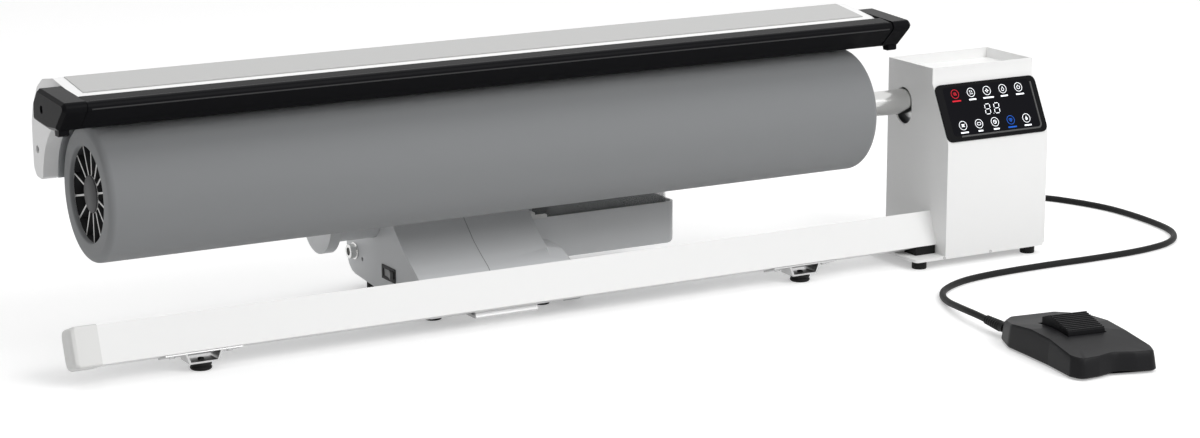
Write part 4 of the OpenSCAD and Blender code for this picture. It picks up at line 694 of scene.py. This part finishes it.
class IRONER_OT_touch_panel(bpy.types.Operator):
    """Rings, symbols and digits on the touch panel"""

    bl_idname = "ironer.touch_panel"
    bl_label = "Touch panel"

    # The slope on which the glass lies: its foot above the floor, its rise and its run
    slope_foot = 134.5
    slope_rise = 60.7
    slope_back = 31.0
    glass_top = 2.02
    # On the glass, u is measured from the box's left side and v up the slope from its foot
    first_u = 23.4
    row_vs = (53.4, 18.1)
    caption_drop = 7.9
    caption_w = 12.5
    caption_rises = (-0.5, 0.0, 0.5)
    symbol_share = 0.85
    stroke = 0.6
    display = (66.5, 33.1)
    # Corners and width of the border's painted highlight
    border = (18.0, 6.2, 124.5, 58.0)
    border_w = 1.9
    corner = 4.5
    columns = 5
    # Degrees
    ring_end = 350
    ring_steps = 40
    # A digit's width, lean and gaps as shares of its height
    digit_w = 0.58
    digit_lean = 0.08
    digit_gap = 0.08
    digit_apart = 6.0
    digit_stroke = 0.75
    # The dot's start after the display's middle, and its length
    dot = (0.1, 0.5)
    white_glow, red_glow, blue_glow, digit_glow = 0.8, 0.45, 0.5, 0.9

    def execute(self, context):
        rotation = Matrix.Rotation(math.atan2(self.slope_rise, self.slope_back), 4, "X")
        self.face = Matrix.Translation(place(0, 0, self.slope_foot)) @ rotation
        self.face = self.face @ Matrix.Translation((0, 0, self.glass_top * MM))
        self.border_highlight()
        self.rings()
        self.digits()
        return {"FINISHED"}

    def material(self, row, column):
        if (row, column) == (0, 0):
            return plain("lit_red", colours().lit_red, self.red_glow)
        if (row, column) == (1, 3):
            return plain("lit_blue", colours().lit_blue, self.blue_glow)
        return plain("lit_white", colours().lit_white, self.white_glow)

    # Painted highlight: the raised border round the keys is drawn in lighter grey along its right
    # and bottom sides only, where it catches the light
    def border_highlight(self):
        x1, y1, x2, y2 = self.border
        corner = arc((x2 - self.corner, y1 + self.corner), self.corner, 0, -90)
        ridge_highlight = [(x2, y2), *corner, (x1, y1)]
        line = strokes("panel_border_highlight", [(ridge_highlight, False)], self.border_w, self.face)
        add(line, "frame", "panel_black", plain("panel_ridge_highlight", colours().ridge_highlight))

    def rings(self):
        r = (sizes().icon_d - self.stroke) / 2
        for row, v in enumerate(self.row_vs):
            for column in range(self.columns):
                u = self.first_u + sizes().icon_pitch * column
                key = row * self.columns + column
                lines = [(arc((u, v), r, 0, self.ring_end, self.ring_steps), True)]
                for line, closed in SYMBOLS[key]:
                    shrunk = [(a * self.symbol_share, b * self.symbol_share) for a, b in line]
                    lines.append(([(u + a, v + b) for a, b in shrunk], closed))
                half = self.caption_w / 2 * CAPTION_SHARES[key]
                for rise in self.caption_rises:
                    level = v - self.caption_drop + rise
                    lines.append(([(u - half, level), (u + half, level)], False))
                symbol = strokes(f"touch_key_{row}_{column}", lines, self.stroke, self.face)
                add(symbol, "frame", "panel_glass", self.material(row, column))

    def digits(self):
        h = sizes().digit_h
        w, lean, gap = h * self.digit_w, h * self.digit_lean, h * self.digit_gap
        middle, level = self.display
        lines = []
        for centre in (middle - self.digit_apart, middle + self.digit_apart):
            for (x1, y1), (x2, y2) in SEGMENTS:
                a = Vector((x1 * w, y1 * h / 2))
                b = Vector((x2 * w, y2 * h / 2))
                cut = (b - a).normalized() * gap
                left = centre - w / 2
                ends = [(left + p.x + lean * p.y / h, level + p.y) for p in (a + cut, b - cut)]
                lines.append((ends, False))
        start, length = self.dot
        dot = (middle + start, level - h / 2)
        lines.append(([dot, (dot[0] + length, dot[1])], False))
        digits = strokes("display_digits", lines, self.digit_stroke, self.face)
        glowing = plain("lit_digits", colours().lit_white, self.digit_glow)
        add(digits, "frame", "panel_glass", glowing)


# Ends of the seven strokes of a digit, as shares of its width and half height
SEGMENTS = [
    ((0, 1), (1, 1)), ((0, 0), (1, 0)), ((0, -1), (1, -1)),
    ((0, 1), (0, 0)), ((0, 0), (0, -1)), ((1, 1), (1, 0)), ((1, 0), (1, -1)),
]


def wave(x, low, high, amplitude=0.5, steps=10):
    """A small upright wave."""
    return [
        (x + amplitude * math.sin(2 * math.pi * k / steps), low + (high - low) * k / steps)
        for k in range(steps + 1)
    ]


def drop(x, y, r):
    """Outline of a drop with its tip up."""
    return [(x, y + 2.1 * r), *arc((x, y), r, 30, -210, 16)]


# Plain symbols inside the rings, in millimetres from each ring's middle
SYMBOLS = [
    [(wave(-1.6, -2, 1.8), False), (wave(0, -2, 2.4), False), (wave(1.6, -2, 1.8), False)],
    [(wave(-1.4, -0.5, 2.6), False), (wave(1.4, -0.5, 2.6), False),
     ([(-2.6, -2), (2.6, -2)], False)],
    [(arc((0, 0), 1.3, 0, 350, 16), True), ([(0, 1.3), (0, 3)], False),
     ([(0, -1.3), (0, -3)], False), ([(1.3, 0), (3, 0)], False), ([(-1.3, 0), (-3, 0)], False)],
    [(drop(0, -0.9, 1.8), True)],
    [(arc((0, -0.2), 2.3, 125, 415, 20), False), ([(0, 0.2), (0, 3)], False)],
    [([(-2.5, -2), (2.5, 2)], False), ([(-2.5, 2), (2.5, -2)], False),
     (arc((0, 0), 1.4, 0, 350, 16), True)],
    [(arc((-1, 0), 1.8, 60, 300, 14), False), (arc((1, 0), 1.8, -120, 120, 14), False)],
    [(arc((0, 0), 2.3, 0, 350, 20), True), (arc((-1, -1), 2.0, -20, 110, 10), False)],
    [(arc((-1.1, 0.7), 1.2, 0, 350, 12), True), (arc((1.1, 0.7), 1.2, 0, 350, 12), True),
     (arc((0, -1), 1.2, 0, 350, 12), True)],
    [(drop(0, -0.6, 1.5), True), ([(0, -2.8), (0, 1)], False)],
]
CAPTION_SHARES = [0.9, 0.75, 1.1, 0.75, 0.85, 0.8, 0.5, 0.6, 0.9, 0.75]


# Pedal


class IRONER_OT_pedal(bpy.types.Operator):
    """Foot pedal's casing, treadle and the ribbed sleeve of its cord"""

    bl_idname = "ironer.pedal"
    bl_label = "Pedal"

    body_edge = 0.9
    body_segments = 3
    body_angle = math.radians(40)
    treadle_edge = 0.45
    relief_r = 5.0
    # The sleeve starts this much inside the cord, and steps out this much over it
    relief_lap = 0.1
    relief_step = 0.4
    # Length of the sleeve inside the pedal
    relief_in = 6
    relief_turns = 32
    ribs = 7
    rib_steps = 4
    rib_raised = (1, 2)
    rib_h = 0.7
    # Share of the sleeve that has ribs
    ribbed_share = 0.9

    def execute(self, context):
        rounded_node("pedal_body", self.body_edge, self.body_segments, self.body_angle)
        rounded_node("treadle", self.treadle_edge)
        self.sleeve()
        return {"FINISHED"}

    def sleeve(self):
        end = place(*CORD_ROUTE[-1])
        inward = (end - place(*CORD_ROUTE[-2])).normalized()
        inward = Vector((inward.x, inward.y, 0)).normalized()
        length, cord_r = sizes().relief_len, sizes().cord_d / 2
        first_r = cord_r + self.relief_step
        profile = [(0, cord_r - self.relief_lap)]
        steps = self.ribs * self.rib_steps
        for k in range(steps + 1):
            share = k / steps
            r = first_r + (self.relief_r - first_r) * share
            raised = k % self.rib_steps in self.rib_raised and share < self.ribbed_share
            profile.append((length * share, r + (self.rib_h if raised else 0)))
        profile.append((length + self.relief_in, self.relief_r))
        sleeve = lathe("cord_sleeve", profile, Vector((0, 0, 0)), self.relief_turns)
        turn = inward.to_track_quat("X", "Z").to_matrix().to_4x4()
        sleeve.matrix_world = Matrix.Translation(end) @ turn
        add(sleeve, "frame", "black_rubber")
        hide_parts("pedal_strain_relief")


# Shells and frames with rounded edges

# Rounding of each solid's edges in millimetres
ROUNDED = {
    "box_shell": 0.9, "box_rear_cover": 0.3, "box_base_plate": 0.5, "panel_bezel": 0.5,
    "rail_tube": 1.0, "rail_end_cap": 0.8, "rail_brackets": 0.35, "rail_feet": 0.4, "box_feet": 0.8,
    "housing_feet": 0.8, "side_covers": 1.2, "shoe_frame": 0.7, "end_caps": 0.8, "guard_bar": 0.6,
    "top_inset": 0.35, "shoe_plate": 0.4, "tank_tray": 0.9, "tank_latch": 0.8, "water_tank": 0.7,
    "carrier_arm_left": 1.5, "carrier_arm_right": 1.5, "pivot_tube": 0.5, "drain_valve": 0.5,
    "switch_frame": 0.4, "power_rocker": 0.5, "mains_inlet": 0.4,
    "roller_shaft": 0.4, "frame_screws": 0.25, "cap_screws": 0.25, "housing_base_plate": 0.4,
    "rail_block": 0.4, "housing_shell": 1.5, "housing_cover": 1.5,
}


class IRONER_OT_rounded(bpy.types.Operator):
    """Rounded edges on the shells, frames and small metal parts"""

    bl_idname = "ironer.rounded"
    bl_label = "Rounded edges"

    def execute(self, context):
        for node, radius in ROUNDED.items():
            rounded_node(node, radius)
        return {"FINISHED"}


class IRONER_OT_finishes(bpy.types.Operator):
    """Finishes of the solids that are shown as they are"""

    bl_idname = "ironer.finishes"
    bl_label = "Finishes"

    def execute(self, context):
        for node, obj in frame["nodes"].items():
            obj.data.materials.clear()
            obj.data.materials.append(finish(node_slot(node)))
        return {"FINISHED"}


class IRONER_PT_pieces(bpy.types.Panel):
    """Steps that dress the ironer"""

    bl_idname = "IRONER_PT_pieces"
    bl_label = "Flatwork Ironer"
    bl_space_type = "VIEW_3D"
    bl_region_type = "UI"
    bl_category = "Ironer"

    def draw(self, context):
        for step in STEPS:
            self.layout.operator(step.bl_idname)
        for group in (sizes(), colours(), stage()):
            box = self.layout.box()
            for name in group.bl_rna.properties.keys():
                if name not in ("rna_type", "name"):
                    box.prop(group, name)


STEPS = (
    IRONER_OT_camera,
    IRONER_OT_cord,
    IRONER_OT_stage,
    IRONER_OT_finishes,
    IRONER_OT_roller_cover,
    IRONER_OT_roller_end,
    IRONER_OT_bar_beads,
    IRONER_OT_housing_seam,
    IRONER_OT_touch_panel,
    IRONER_OT_pedal,
    IRONER_OT_rounded,
)
GROUPS = (IronerColours, IronerSizes, IronerStage)


def register():
    for cls in (*GROUPS, *STEPS, IRONER_PT_pieces):
        bpy.utils.register_class(cls)
    bpy.types.Scene.ironer_colours = bpy.props.PointerProperty(type=IronerColours)
    bpy.types.Scene.ironer_sizes = bpy.props.PointerProperty(type=IronerSizes)
    bpy.types.Scene.ironer_stage = bpy.props.PointerProperty(type=IronerStage)


def unregister():
    del bpy.types.Scene.ironer_stage
    del bpy.types.Scene.ironer_sizes
    del bpy.types.Scene.ironer_colours
    for cls in (IRONER_PT_pieces, *reversed(STEPS), *reversed(GROUPS)):
        bpy.utils.unregister_class(cls)


def main():
    register()
    for step in STEPS:
        group, name = step.bl_idname.split(".")
        getattr(getattr(bpy.ops, group), name)()


if __name__ == "__main__":
    main()
